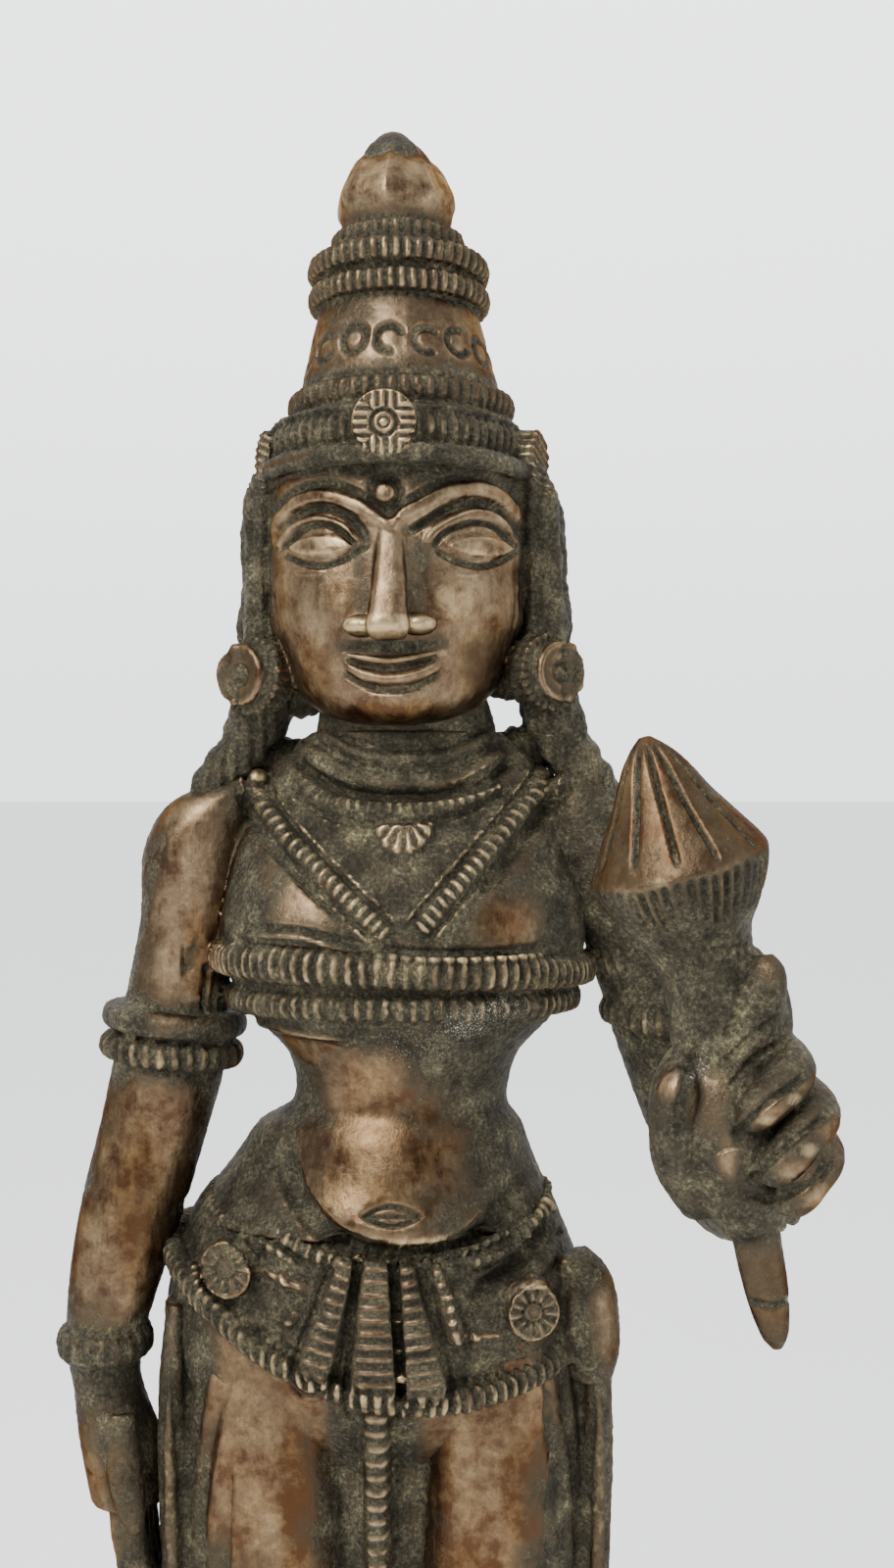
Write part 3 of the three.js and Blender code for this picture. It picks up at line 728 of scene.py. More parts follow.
# Strokes of brows, lids and eyes, her right side first: path, half width, height, dirt and wear
FACE_STROKES = (
    ([(-11.38, 251.95), (-10.81, 253.75), (-9.73, 255.19), (-7.93, 256.05), (-6.13, 256.12),
      (-4.34, 255.69), (-2.54, 254.97), (-0.88, 254.11), (0.34, 253.39)], 0.85, 0.42, -0.45, 0.06),
    ([(-11.17, 254.83), (-9.73, 256.48), (-7.93, 257.34), (-5.78, 257.56),
      (-3.98, 257.13), (-2.18, 256.19), (-0.6, 254.83), (0.12, 254.11)], 0.55, -0.6, 0.6, 0),
    ([(-10.45, 253.03), (-9.37, 254.25), (-7.57, 255.04), (-5.78, 255.04),
      (-3.98, 254.25), (-2.75, 253.03), (-2.18, 251.88)], 0.6, -0.85, 0.7, 0),
    ([(-10.95, 250.87), (-10.09, 252.45), (-8.65, 253.53), (-6.85, 253.96),
      (-5.06, 253.53), (-3.98, 252.88), (-3.19, 251.88)], 0.32, 0.5, -0.25, 0.12),
    ([(-10.23, 251.16), (-9.01, 252.52), (-7.57, 253.24),
      (-6.13, 253.32), (-4.7, 252.67), (-3.33, 251.37)], 0.4, -0.65, 0.7, 0),
    ([(-9.95, 250.01), (-8.65, 249.36), (-6.49, 249.14),
      (-4.7, 249.65), (-3.04, 250.58), (-2.04, 251.16)], 0.42, -0.55, 0.5, 0),
    ([(-9.37, 248.5), (-7.93, 248.28), (-6.35, 248.5)], 0.28, 0.15, 0, 0.1),
    ([(0.48, 253.39), (1.42, 254.25), (3.57, 255.33), (5.73, 256.48), (7.89, 256.98),
      (10.05, 256.98), (11.85, 256.05), (13.07, 254.68), (13.72, 253.03)], 0.85, 0.42, -0.45, 0.06),
    ([(0.41, 254.25), (1.42, 255.4), (3.57, 256.62), (5.73, 257.7),
      (8.25, 258.21), (10.41, 258.06), (12.2, 257.13), (13.36, 255.54)], 0.55, -0.6, 0.6, 0),
    ([(2.42, 252.74), (3.93, 253.6), (5.73, 254.68), (7.53, 255.4),
      (9.69, 255.54), (11.49, 254.83), (12.78, 253.39), (13.28, 251.95)], 0.6, -0.85, 0.7, 0),
    ([(3.93, 251.73), (4.87, 252.88), (6.45, 253.89), (8.61, 254.68),
      (10.41, 254.47), (11.85, 253.53), (12.71, 252.31), (13.07, 251.23)], 0.32, 0.5, -0.25, 0.12),
    ([(4.87, 251.3), (5.73, 252.31), (7.17, 253.1), (8.97, 253.53),
      (10.77, 253.24), (11.99, 252.24), (12.71, 251.23)], 0.4, -0.65, 0.7, 0),
    ([(5.23, 250.65), (6.81, 249.72), (8.61, 249.14),
      (10.41, 249.14), (12.2, 249.86), (13.21, 250.65)], 0.42, -0.55, 0.5, 0),
    ([(6.6, 248.42), (7.89, 248.07), (9.47, 248.21)], 0.28, 0.15, 0, 0.1),
)
# Strokes across the mouth
MOUTH_STROKES = (
    ([(-4.19, 240.95), (-2.18, 240.8), (0.34, 240.73), (2.86, 240.87), (5.37, 241.23)], 0.85, -0.35, 0.55, 0),
    ([(-4.19, 240.01), (-3.26, 239.87), (-1.46, 239.58), (0.34, 239.43), (2.14, 239.65), (3.93, 240.01),
      (5.44, 240.44)], 0.42, 0.4, -0.25, 0),
    ([(-3.76, 239.36), (-1.82, 238.86), (0.34, 238.64), (2.5, 239), (4.73, 239.65)], 0.34, -0.5, 0.9, -0.3),
    ([(-4.12, 239.22), (-2.9, 238.28), (-1.1, 237.71), (0.7, 237.56), (2.86, 237.92), (4.58, 238.57),
      (5.37, 239.29)], 0.75, 0.6, -0.3, 0),
    ([(-4.05, 237.92), (-2.54, 236.99), (-0.6, 236.49), (1.42, 236.41), (3.43, 236.92),
      (5.16, 237.92)], 0.45, -0.35, 0.4, 0),
)
# Eyeballs: middle and half width
EYES = ((-6.64, 251.05, 3.2), (9.55, 250.95, 3.35))
# Half the skull's width at each height
SKULL_WIDTH = (
    (232.9, 3.2), (233.6, 5.9), (234.8, 8.6), (237.2, 11), (240.6, 12.8), (245.5, 13.8), (251, 14.1),
    (262, 13.4),
)


def carve_face(clay):
    """Bares the skin of the face, draws its features on it, then rubs and soils it, and paints shade along
    its sides.
    """
    u, v = clay.seen(FACE_DEPTH)
    x, y, z = clay.points.T
    wide = np.interp(z, *zip(*SKULL_WIDTH))
    skin = np.hypot((x - FACE_X) / wide, (y + 0.6) / (wide * 0.88))
    skin = ease(1.14, 1.05, skin)
    skin += ease(-9.6, -11.2, y) * ease(9, 7.6, np.abs(x - FACE_X)) * ease(257, 255, z)
    skin += ease(-3, -5, y) * ease(240.5, 238.5, z) * ease(1.2, 0.4, np.abs(x - FACE_X) - wide)
    skin = clip01(skin)
    front = (y < -2.8) & (v > 232) & (v < 260.4) & (skin > 0)
    clay.dirt -= 0.9 * front * skin * ease(260.2, 258.8, v)
    # Skin darker over the brows; the darkening along the jaw and temples, where the face turns away, is
    # painted shade
    clay.dirt += front * (0.12 * ease(255, 256.5, v) + 0.22 * ease(0.8, 1, np.abs(x - FACE_X) / wide) + 0.13)
    for path, half, height, dirt, wear in FACE_STROKES + MOUTH_STROKES:
        clay.stroke(u, v, path, half, height, front, dirt, wear, flat=half > 0.8 and height > 0)
    for middle, level, half in EYES:
        side = math.copysign(1, middle)
        # An almond of two flat facets, its inner corner higher
        du = side * (u - middle)
        dv = v - level + 0.05 * du
        upper, lower = (np.sqrt(clip01(1 - np.abs(du / half) ** 2)) * high for high in (1.45, 1.25))
        room = np.where(dv > 0, upper, lower)
        inside = clip01((room - np.abs(dv)) / 0.5) * (room > 0) * front
        clay.offset += (0.7 - 0.16 * np.clip(dv, 0, 2) - 0.1 * np.abs(u - middle + 0.3)) * inside
        clay.wear += 0.6 * inside
        clay.dirt -= 0.75 * inside
        clay.offset += front * 0.45 * np.exp(-((u - middle) / 4.5) ** 2 - ((v - 244.4) / 4.6) ** 2)
    # Forehead mark: a ring groove round a dot
    away = np.hypot(u + 0.2, v - 256.7)
    clay.offset -= 0.9 * bell(away, 1.55, 0.45) * front
    clay.offset += 0.15 * bell(away, 0, 0.95, 4) * front
    clay.dirt += (0.8 * bell(away, 1.55, 0.55) + 0.05 * bell(away, 0, 0.95, 4)) * front
    # Rubbed nose and wings, dirt beside them and under the band
    nose = (y < -13.2) & front
    wings = np.exp(-((u - NOSE_X - 0.2) / 4.8) ** 4 - ((v - 243) / 1.3) ** 4)
    clay.wear += nose * 1.5 * wings
    clay.dirt -= nose * 0.4 * wings
    clay.wear += nose * 0.1 * bell(u, NOSE_X, 1.4)
    for side in (-1, 1):
        clay.dab(
            "dirt", ((NOSE_X + side * 3, -12.4, 246.6), (1.4, 2.6, 2.6), 0.6),
            ((NOSE_X + side * 3.2, -12.2, 250.6), (1.2, 2.6, 1.9), 0.55),
            ((FACE_X + side * 5.6, -11.4, 246.6), (2.6, 4, 3), -0.22),
        )
        clay.dab("wear", ((FACE_X + side * 5, -11, 246.8), (2.4, 3, 2.2), 0.5))
    clay.dab(
        "wear", ((6.8, -10, 245.4), (3.4, 3, 3.8), 0.8), ((-7, -10, 245), (3.4, 3, 4), 0.25),
        ((0.6, -12, 235.2), (4.6, 4, 1.3), 0.4),
    )
    clay.dab("stain", ((6, -10, 246), (3.4, 3, 3.4), 0.35), ((-4.6, -11, 246.4), (2.4, 3, 2.4), 0.3))
    clay.dab(
        "dirt", ((FACE_X, -12.5, 260), (11, 6, 1.9), 0.8), ((NOSE_X, -13, 241.4), (4.6, 3, 0.8), 0.4),
        ((FACE_X + 9.5, -8, 240), (3.5, 5, 4), 0.2),
    )
    clay.dab(
        "stain", ((FACE_X + 9.5, -8, 240), (3.5, 5, 5), 0.8), ((FACE_X - 8.5, -9, 238), (3, 5, 4), 0.5),
        ((FACE_X, -10, 234.4), (6, 5, 1.3), 0.9),
    )


def diadem_rings():
    """The plain roll over her brow, the notched band and the line on top of it."""
    return [
        Ring((HEAD_X, -0.8, 261), (14, 13.9), (1.35, 1.1)),
        Ring((HEAD_X, -0.7, 263.8), (13.5, 13.1), (0.85, 1.5), notches=66, cut=0.6),
        Ring((HEAD_X, -0.6, 266), (13.2, 12.8), (0.7, 0.4)),
    ]


def hair_forms():
    """The hair on the head, three wavy locks on each side, and the locks down the back."""
    forms = [
        ball((HAIR_X, 8.2, 251.5), (13, 7.8, 12)),
        ball((HAIR_X, 4, 258), (13.6, 9, 8)),
    ]
    lock = [
        [12.8, 263.8, 2.4], [15.3, 258.5, 2.8], [15.9, 254, 2.5], [15.4, 250, 2.9], [16.1, 245.6, 2.5],
        [15.5, 242, 2.8], [15.5, 238.4, 3], [16.1, 234.8, 3.2], [17.7, 231.2, 2.9], [20.4, 227.8, 2.4],
        [23, 224.6, 1.6],
    ]
    for side, apart in ((-1, 0), (1, 0.7)):
        for y, inward, wave in ((-0.4, 0.6, 0.5), (2.6, 0, -0.5), (5.8, 0.2, 0.5)):
            forms.append(loft([
                [HAIR_X + side * (out - inward * ease(236, 242, height) + apart * ease(256, 244, height)),
                 y + wave * (-1) ** i, height, half, 2.3]
                for i, (out, height, half) in enumerate(lock)
            ], 20))
        forms.append(loft([
            [HAIR_X + side * 10, 7.6, 262, 2, 2], [HAIR_X + side * 12.4, 8.6, 252, 2.6, 2.6],
            [HAIR_X + side * 12, 8.4, 243, 2.4, 2.4], [HAIR_X + side * 10.6, 8, 239, 1, 1],
        ], 20))
    # Tufts that close the space between neck and locks but for one small hole on each side
    for centre, radii in (
        ((-10.8, 3.4, 237.3), (3.6, 2.8, 2.9)), ((-12, 3.2, 229.1), (3.8, 3, 3)),
        ((13.6, 3.4, 239.2), (3.6, 2.8, 2.9)), ((14.6, 3.2, 230.6), (3.8, 3, 2.9)),
    ):
        forms.append(ball(centre, radii))
    # Locks down the back
    for x in (-6.4, -3.9, -1.3, 1.3, 3.9, 6.4):
        forms.append(loft([
            [HAIR_X + x * spread, y - abs(x) * (0.25 if height > 235 else 0.2), height, wide, deep]
            for spread, y, height, wide, deep in (
                (1, 11.6, 246, 2.4, 2.4), (1.04, 12, 239, 2.3, 2.6), (0.98, 11, 233, 2.3, 2.6),
                (1.1, 10.4, 227, 2.2, 2.4), (1.3, 9.8, 221, 1.7, 1.7), (1.5, 8.6, 216, 0.6, 0.6),
            )
        ], 16))
    return forms


def ear_discs():
    """For each earring's back and front disc: centre, the way it faces, radius and thickness."""
    return [
        ((HAIR_X + side * shift, y, 238.9 + side * 0.2), (side * 0.6, -0.8, 0), radius, thick)
        for side in (-1, 1)
        for shift, y, radius, thick in ((15.7, -3.5, 4.2, 2.8), (17.3, -4.5, 3.3, 1.2))
    ]


def local(points, centre, facing):
    """Sideways, up and outward places of points seen on a disc."""
    out = Vector(facing).normalized()
    sideways = Vector(Z_AXIS).cross(out).normalized()
    up = out.cross(sideways)
    moved = points - np.array(centre)
    return moved @ np.array(sideways), moved @ np.array(up), moved @ np.array(out)


def carve_jewels(clay):
    """The diadem's rosettes and the earrings."""
    u, v, out = local(clay.points, (FACE_X - 0.8, -15.8, 263.8), (0, -1, 0))
    away = np.hypot(u, v)
    disc_near = (away < 3.7) & (np.abs(out) < 1.4)
    bars = np.where(np.abs(u) > np.abs(v) * 0.9, np.cos(v * TAU / 0.92), np.cos((u + 0.2) * TAU / 0.92))
    outer = disc_near * (away > 1.7) * (away < 3.3)
    clay.offset -= outer * 0.3 * clip01(0.5 - 0.5 * bars) ** 1.5
    clay.offset -= disc_near * 0.5 * bell(away, 1.3, 0.24)
    clay.offset -= disc_near * 0.3 * bell(away, 0.55, 0.16)
    clay.wear += disc_near * (0.35 + 0.3 * clip01(bars) * (away > 1.7) + 0.3 * (away < 0.5))
    clay.dirt -= disc_near * (0.55 - 0.5 * bell(away, 1.3, 0.3))
    clay.dirt += outer * 0.5 * clip01(-bars)
    for centre, facing, radius, _ in ear_discs():
        u, v, out = local(clay.points, centre, facing)
        away = np.hypot(u, v)
        angle = np.arctan2(v, u)
        near = (np.abs(out) < 2) & (away < radius + 0.6)
        if radius < 4:
            clay.offset -= near * 0.6 * bell(away, 0.9, 0.35)
            clay.offset += near * 0.2 * bell(away, 0, 0.45)
            clay.offset += near * 0.2 * bell(away, 2.9, 0.3)
            clay.dirt -= near * (out > 0.2) * (0.42 - 0.6 * bell(away, 0, 1.1, 4))
        else:
            clay.offset -= near * (away > radius - 0.9) * 0.25 * clip01(np.cos(26 * angle))
            clay.wear += near * (away > radius - 0.5) * 0.12 * clip01(-np.cos(26 * angle))
    for side in (-1, 1):
        u, v, out = local(clay.points, (HAIR_X + side * 14.8, -2.4, 262.6), (side, -0.35, 0))
        near = (np.hypot(u, v) < 3.9) & (np.abs(out) < 1.8)
        ribs = np.cos((v + 0.3 * u) * TAU / 0.95)
        clay.offset -= near * 0.22 * clip01(0.5 - 0.5 * ribs)
        clay.wear += near * clip01(ribs) * 0.5
        clay.dirt -= near * 0.3


def carve_hair(clay):
    """Curls and strands, all but under the diadem."""
    x, y, z = clay.points.T
    away = np.hypot(x - HEAD_X, y + 0.8)
    beside = (np.abs(x - HAIR_X) > 12.2 - 0.05 * np.abs(z - 250)) & (y > -5) | (y > 3)
    hair = beside & (z < 262) & (z > 214)
    curls = 1.5 * noise(clay.points, 2.6, 31) + 0.5 * noise(clay.points, 0.9, 32)
    strands = np.sin(TAU * (away * 0.75 + 0.25 * noise(clay.points, 4, 33)) / 1.1)
    clay.offset += hair * (0.2 * curls + 0.14 * strands)
    clay.dirt += hair * 0.25


def build_head():
    skull = [
        [FACE_X, *row] for row in (
            (-5.4, 233.2, 2.6, 2.8), (-4.7, 233.8, 5.8, 5.6), (-3.6, 235, 8.5, 8.1),
            (-2.4, 237.2, 10.9, 10.2), (-1.4, 240.6, 12.6, 11.3), (-0.8, 245.5, 13.8, 12.1),
            (-0.6, 251, 14.1, 12.4), (-0.6, 257, 13.9, 12.4), (-0.6, 262, 13.3, 12),
            (-0.6, 265.6, 12.4, 11.6),
        )
    ]
    neck = [
        [1.4, 1.2, 222, 11, 7.4], [1.6, 0.6, 229, 10.4, 7.2], [1.6, 0.4, 233.4, 10, 7],
        [0.9, 0, 240, 8.6, 7.4],
    ]
    nose = [
        [NOSE_X + left, *row] for left, *row in (
            (0.2, -12.2, 254.2, 1.2, 0.9), (0.1, -12.7, 251, 1.5, 1.4), (0.1, -13.4, 247.6, 1.75, 1.7),
            (0, -14.2, 244.6, 2, 1.8), (0, -14.6, 242.9, 2.2, 1.5), (0, -14, 241.8, 1.6, 0.9),
        )
    ]
    forms = [
        loft(skull, 72, 6, level=True),
        loft(neck, 48, 4, level=True),
        loft(nose, 24, 5, level=True, power=2.8),
        # Wings of the nose, chin and mouth, and the diadem's rosette
        ball((NOSE_X - 2.8, -12.9, 243.3), (1.8, 1.6, 1)),
        ball((NOSE_X + 3, -12.9, 243.5), (1.9, 1.6, 1.05)),
        ball((FACE_X, -9.8, 236), (4.8, 3, 2.8)),
        ball((FACE_X + 0.1, -9.4, 239.6), (6.4, 3.3, 4)),
        disc((FACE_X - 0.8, -14.9, 263.9), (0, -1, 0), 3.3, 2.6, 1.06),
    ]
    forms += [disc((HAIR_X + side * 14.4, -2.3, 262.6), (side, -0.35, 0), 3.4, 2.4, 1.05) for side in (-1, 1)]
    band = [
        [HEAD_X, -0.6, 266.9, 12.2, 11.8], [HEAD_X, -0.7, 266, 13.2, 12.8], [HEAD_X, -0.8, 262.3, 13.6, 13.2],
        [HEAD_X, -0.8, 260.6, 13, 12.4],
    ]
    rings = diadem_rings()
    forms += [loft(band, 72, 4, level=True)] + [ring.form() for ring in rings]
    forms += [disc(centre, facing, radius, thick, 1.05) for centre, facing, radius, thick in ear_discs()]
    forms += hair_forms()
    clay = Clay("head", forms, 7)
    clay.dirt += 0.85
    carve_hair(clay)
    carve_face(clay)
    for ring in rings:
        ring.carve(clay)
    _, up, out = rings[0].coordinates(clay.points)
    roll = bell(up, 0, 0.5) * (np.abs(out) < 1.8) * ease(8, 2, clay.points[:, 1])
    clay.wear += 0.3 * roll * ease(9, -1, clay.points[:, 0])
    clay.dirt -= 0.55 * roll * ease(13, 3, clay.points[:, 0])
    carve_jewels(clay)
    clay.dab("dirt", ((1.4, -5, 232.4), (12, 7, 2), 0.35))
    clay.finish("bronze", "figure")


# Body: trunk, breasts, belly and both arms

TRUNK = [
    [HIPS_X + 0.4, 2.6, 152, 17, 10], [HIPS_X, 2.4, 159, 22.6, 14], [HIPS_X, 2.4, 168, 24, 16],
    [HIPS_X - 0.4, 2.9, 178.6, 20.8, 14.8], [-1, 3.4, 184.6, 17, 12.4], [-0.3, 2.3, 188.6, 14.9, 10.9],
    [0.9, 1.4, 191.6, 12, 9.8], [1.3, -0.2, 197, 12.8, 9.6], [CHEST_X, -0.8, 202, 17.2, 11],
    [CHEST_X, -1.2, 208.4, 20, 12.4], [CHEST_X, -0.8, 214, 19.6, 12], [1, 0.4, 220, 18.8, 10.4],
    [1.2, 1.4, 225, 17, 8.8], [1.5, 1.2, 229, 15, 8.4], [1.6, 0.7, 231.3, 12.3, 7.7],
    [1.6, 0.4, 232.6, 10.6, 7.4],
]
UPPER_BELT = dict(centre=(HIPS_X + 0.8, 1.4, 181.4), halves=(17.8, 12.8), tube=(1.1, 1.25), dip=4)
RAISED_UPPER = [
    [17.8, 1.4, 227, 3, 4], [21, 1.4, 224.4, 5.2, 5.8], [23.8, 1.6, 219, 6, 6.3], [27, 2, 211, 5.6, 6],
    [30.4, 2.6, 201, 5.8, 6], [34.4, 3, 191, 6.2, 6.2], [37.2, 3, 184.4, 6, 6], [37.8, 3, 179.4, 3.8, 3.6],
]
RAISED_FORE = [
    [38, 6.4, 181.2, 3.4, 3.4], [37.8, 2, 182.2, 5.6, 5.6], [37.2, -9, 184, 5.8, 5.7],
    [36.2, -20, 187.2, 5.2, 5.2], [35.2, -30, 190.6, 4.6, 4.6], [34.6, -37, 193, 4.3, 4.3],
    [33.6, -42, 195.4, 4.4, 4.6],
]
HANGING = [
    [-16.4, 1.4, 227.4, 3, 4], [-19.8, 1.4, 224.6, 5.4, 5.8], [-22, 1.4, 219.6, 6, 6.3],
    [-23, 1.4, 212, 5.4, 6], [-24.2, 1.6, 204, 5.7, 5.9], [-25.4, 1.8, 195, 6.3, 6.2],
    [-27, 1.4, 188, 6.1, 6], [-29, 0.4, 180, 5.9, 5.7], [-30.8, -0.8, 172, 5.1, 5],
    [-31.8, -1.6, 165, 4.2, 4.4], [-31.5, -1.8, 160.5, 3.7, 4.6], [-30, -1.8, 154, 4.4, 5.2],
    [-29, -1.8, 148, 4.2, 5],
]


def chest_rings():
    """The two notched bands under her breasts."""
    return [
        Ring((CHEST_X, -1.1, 207.2), (20.2, 12.6), (1.5, 1.7), tilt=-0.7, notches=92, cut=0.65),
        Ring((CHEST_X, -0.9, 203.3), (18.7, 11.8), (1.25, 1.35), notches=86, cut=0.4),
    ]


def arm_rings():
    """Armlets and bracelets."""
    return [
        Ring((-24.6, 1.6, 200.4), (6.4, 6.3), (1.7, 1.5), tilt=-0.7),
        Ring((-25, 1.7, 197), (6.6, 6.4), (1.5, 1.5), tilt=-0.7, notches=30, cut=0.55),
        Ring((-31.8, -1.6, 165.2), (4.3, 4.5), (1, 1.7), notches=20, cut=0.25),
        Ring((30.8, 2.6, 200), (6.1, 6.2), (1.3, 1.5), tilt=-1.2, notches=30, cut=0.45),
        Ring((34.5, -33.4, 191.9), (4.6, 4.6), (1.2, 1.9), notches=22, cut=0.45, axis=(-0.1, -0.92, 0.36)),
    ]


# What lies on the chest, on an upright plane through the breasts as the eye sees it
CHEST_DEPTH = -13
BELLY_CREASE = [
    (-10.6, 187.4), (-9.2, 183.6), (-5.6, 179.7), (-1.6, 178.1), (2.6, 177.6), (6.6, 178.3), (10.4, 181),
    (13, 185),
]
GARLANDS = (
    [(-13.6, 229), (-13.2, 225.5), (-11.6, 222.9), (-9.6, 220.4), (-7, 217.8), (-4.5, 215.2), (-1.6, 212.4),
     (0.1, 210.7)],
    [(17, 229), (15.3, 226.1), (12.4, 222.4), (9.8, 219.2), (7.5, 216.4), (5, 213.5), (3, 211.2)],
)
NECKLACE = [(-9.6, 227.8), (-6.2, 224.9), (-1.6, 224), (3, 224), (7.2, 225), (11.8, 227.4)]
# Grooves and ridges: path, half width, height and dirt, which in the groove under the right garland also
# paints its shadow
CHEST_STROKES = (
    ([(-9.8, 230), (-8.5, 228.5), (-5.1, 226.5), (-1.6, 225.6), (1.8, 225.4), (5.8, 225.6), (10.1, 226.9),
      (13.4, 229.6)], 0.8, -1.5, 0.5),
    ([(-9, 231.2), (-3, 227.6), (1.5, 226.9), (6.6, 227.3), (12, 230.2)], 0.6, 0.4, 0.1),
    ([(-7.8, 231.4), (-3, 228.9), (1.5, 228.3), (6.6, 228.8), (11.4, 231)], 0.6, -0.7, 0.3),
    ([(-7.4, 232.6), (-3, 230), (1.5, 229.5), (6.6, 229.9), (10.8, 232)], 0.55, 0.35, 0.15),
    ([(-7, 233.2), (-3, 231.1), (1.5, 230.6), (6.6, 231), (10, 232.8)], 0.5, -0.7, 0.3),
    # The groove under the right garland: a real undercut, darkened as well with painted shadow
    ([(19, 227), (16.7, 224.6), (14, 221), (11.5, 218), (9.4, 215.6)], 1, -1.3, 0.4),
    ([(-15.4, 226), (-13.6, 222.4), (-11.2, 219.4), (-8.6, 216.6), (-5.6, 213.6)], 0.8, -0.7, 0.3),
    ([(-15.4, 211.2), (-9.1, 210.9), (-4.2, 209.6), (3.8, 208.5), (12.4, 208.7), (17.6, 209.3)],
     0.35, 0.42, 0.2),
    ([(-15, 212), (-9.1, 211.7), (-4.2, 210.5), (3.8, 209.4), (12.4, 209.6), (17.6, 210.2)], 0.5, -0.4, 0.3),
    ([(-14.4, 202.4), (-9, 200.9), (-3.9, 200.3)], 0.4, 0.4, 0.1),
)


def carve_chest(clay):
    """Breasts, belly, collar, garlands, pendant and navel."""
    u, v = clay.seen(CHEST_DEPTH)
    front = (clay.points[:, 1] < 0.6) & (np.abs(u - CHEST_X) < 22)
    # Breasts, and the belly that swells over the belt
    for side in (-1, 1):
        clay.offset += front * 1.5 * np.exp(-((u - 1 - side * 10.6) / 6.4) ** 2 - ((v - 213.4) / 5.2) ** 2)
    away = np.hypot((u - 1.8) / 12.2, (v - 187.8) / 10)
    clay.offset += front * 2.9 * clip01(1 - away ** 2) ** (0.5 + 1.1 * ease(180, 188, v)) * ease(199, 185, v)
    clay.press()
    u, v = clay.seen(CHEST_DEPTH)
    clay.stroke(u, v, BELLY_CREASE, 1.5, -1.1, front, dirt=0.3)
    clay.press()
    u, v = clay.seen(CHEST_DEPTH)
    for path, half, height, dirt in CHEST_STROKES:
        clay.stroke(u, v, path, half, height, front, dirt)
    clay.cord(u, v, NECKLACE, 1.2, 1.2, front, 1.05, 0.3, wear=0.3, border=0.35)
    for path in GARLANDS:
        clay.cord(u, v, path, 1.1, 1.15, front, 1.06, 0.5, wear=0.5, border=0.5)
    # Pendant: half a disc, cut like a fan
    du, dv = u - 1.66, v - 222.3
    away = np.hypot(du, dv)
    fan = clip01((3.15 - away) / 0.4) * clip01((0.6 - dv) / 0.4) * front
    ribs = 0.5 - 0.5 * np.cos(16 * np.arctan2(dv - 1, du))
    clay.offset += fan * (1 - 0.35 * (1 - ribs) ** 2 * (away > 0.9))
    clay.wear += 0.5 * fan * ribs
    clay.dirt -= 0.3 * fan
    # Navel: a pointed oval with a ridge across it
    du, dv = (u - 0.4) / 3.1, (v - 181.9) / 1.15
    edge = np.abs(dv) + du ** 2
    rim = bell(edge, 0.9, 0.22) * front * (np.abs(du) < 1.2)
    clay.offset -= 0.5 * rim + 0.35 * clip01(1.2 - edge) * front
    clay.dirt += 0.8 * rim
    line = bell(dv, 0, 0.2) * clip01(1 - edge) * front
    clay.offset -= 0.3 * line
    clay.dirt += 0.5 * line + 0.25 * front * (edge < 0.9)


def soil_torso(clay):
    """Where hands have kept the bronze bare and where the old dirt stayed, with a highlight painted on the
    belly.
    """
    clay.dirt += 0.88
    clay.dab(
        "dirt", ((32, 3, 198), (9, 9, 24), 0.5), ((-20.5, -3, 220), (6.5, 9, 8), -0.75),
        ((-22.5, -4, 209), (5.4, 9, 9), -0.9), ((-27, -4, 187), (6.5, 9, 9), -0.9),
        ((-30.5, -4, 175), (6, 9, 9), -0.85), ((-31, -2, 150), (5, 9, 9), -0.7),
        ((-10, -14, 214.4), (5.4, 5, 4.4), -0.7), ((12.4, -13, 212.4), (4.2, 5, 2.8), -0.75),
        ((-13.6, -11, 220), (2.6, 4, 5), -0.6), ((-4.4, -14, 219), (1.8, 3, 2), -0.4),
        ((-0.4, -12, 185.6), (10.4, 9, 8.6), -0.95), ((-3.4, -9, 194), (7.6, 6, 5.4), -0.8),
        ((-10, -8, 198.6), (4, 5, 2.6), -0.7), ((5, -11, 188), (6, 7, 6), -0.3),
        ((-8, 11, 216), (8, 5, 9), -0.6), ((10, 11, 214), (8, 5, 9), -0.6), ((1, 12, 190), (9, 6, 6), -0.5),
        ((-15.6, -6, 213), (2, 6, 9), 0.8), ((1.5, -6, 230), (13, 9, 5), 0.3),
    )
    clay.dab(
        "dust", ((11, -12, 202.4), (7.4, 5, 3), 0.55), ((3.5, -11, 198.6), (7, 4, 3), 0.35),
        ((20, -7, 216), (4, 5, 5), 0.35),
    )
    clay.dab(
        "stain", ((-27.6, -5, 181), (2.4, 6, 8), 0.7), ((-21, -5, 208), (2, 5, 6), 0.5),
        ((6, -12, 190), (5, 5, 4), 0.4), ((-29.4, -4, 151), (3, 5, 6), 0.5),
        ((-12, -12, 221), (3, 4, 4), 0.4), ((0, -12, 188), (12, 8, 12), 0.42),
        ((-28, -4, 184), (8, 8, 20), 0.2), ((10, -12, 212), (5, 5, 4), 0.4),
    )
    # The two spots on the belly are rubbed bronze and a painted highlight where its swell catches the light;
    # the third rubs her right shoulder
    clay.dab(
        "wear", ((-3.4, -11, 190.5), (1.4, 4, 2.8), 0.34), ((4.5, -13, 185.4), (3, 4, 1.6), 0.22),
        ((-21, -6, 222), (3, 5, 3), 0.2),
    )


def hanging_fingers():
    """Four fingers and the thumb."""
    fingers = [
        [[-29, y * 0.9, 152, 1.9, 1.3], [-28.6, y, 146, 1.9, 1.35], [-28.2, y, 143, 1.75, 1.2],
         [-27.8, y, 140.6, 1.8, 1.3], [-27.2, y, tip + 2.2, 1.5, 1.15], [-26.8, y, tip, 0.5, 0.5]]
        for y, tip in ((-5.2, 136.6), (-3, 133.8), (-0.6, 133.2), (1.8, 136))
    ]
    thumb = [
        [-29.4, -5.6, 158.5, 1.8, 1.8], [-28.6, -7, 153, 1.9, 1.7], [-27.8, -7.8, 149.5, 1.7, 1.5],
        [-27, -8, 146.5, 0.6, 0.6],
    ]
    return [loft(rows, 16) for rows in (*fingers, thumb)]


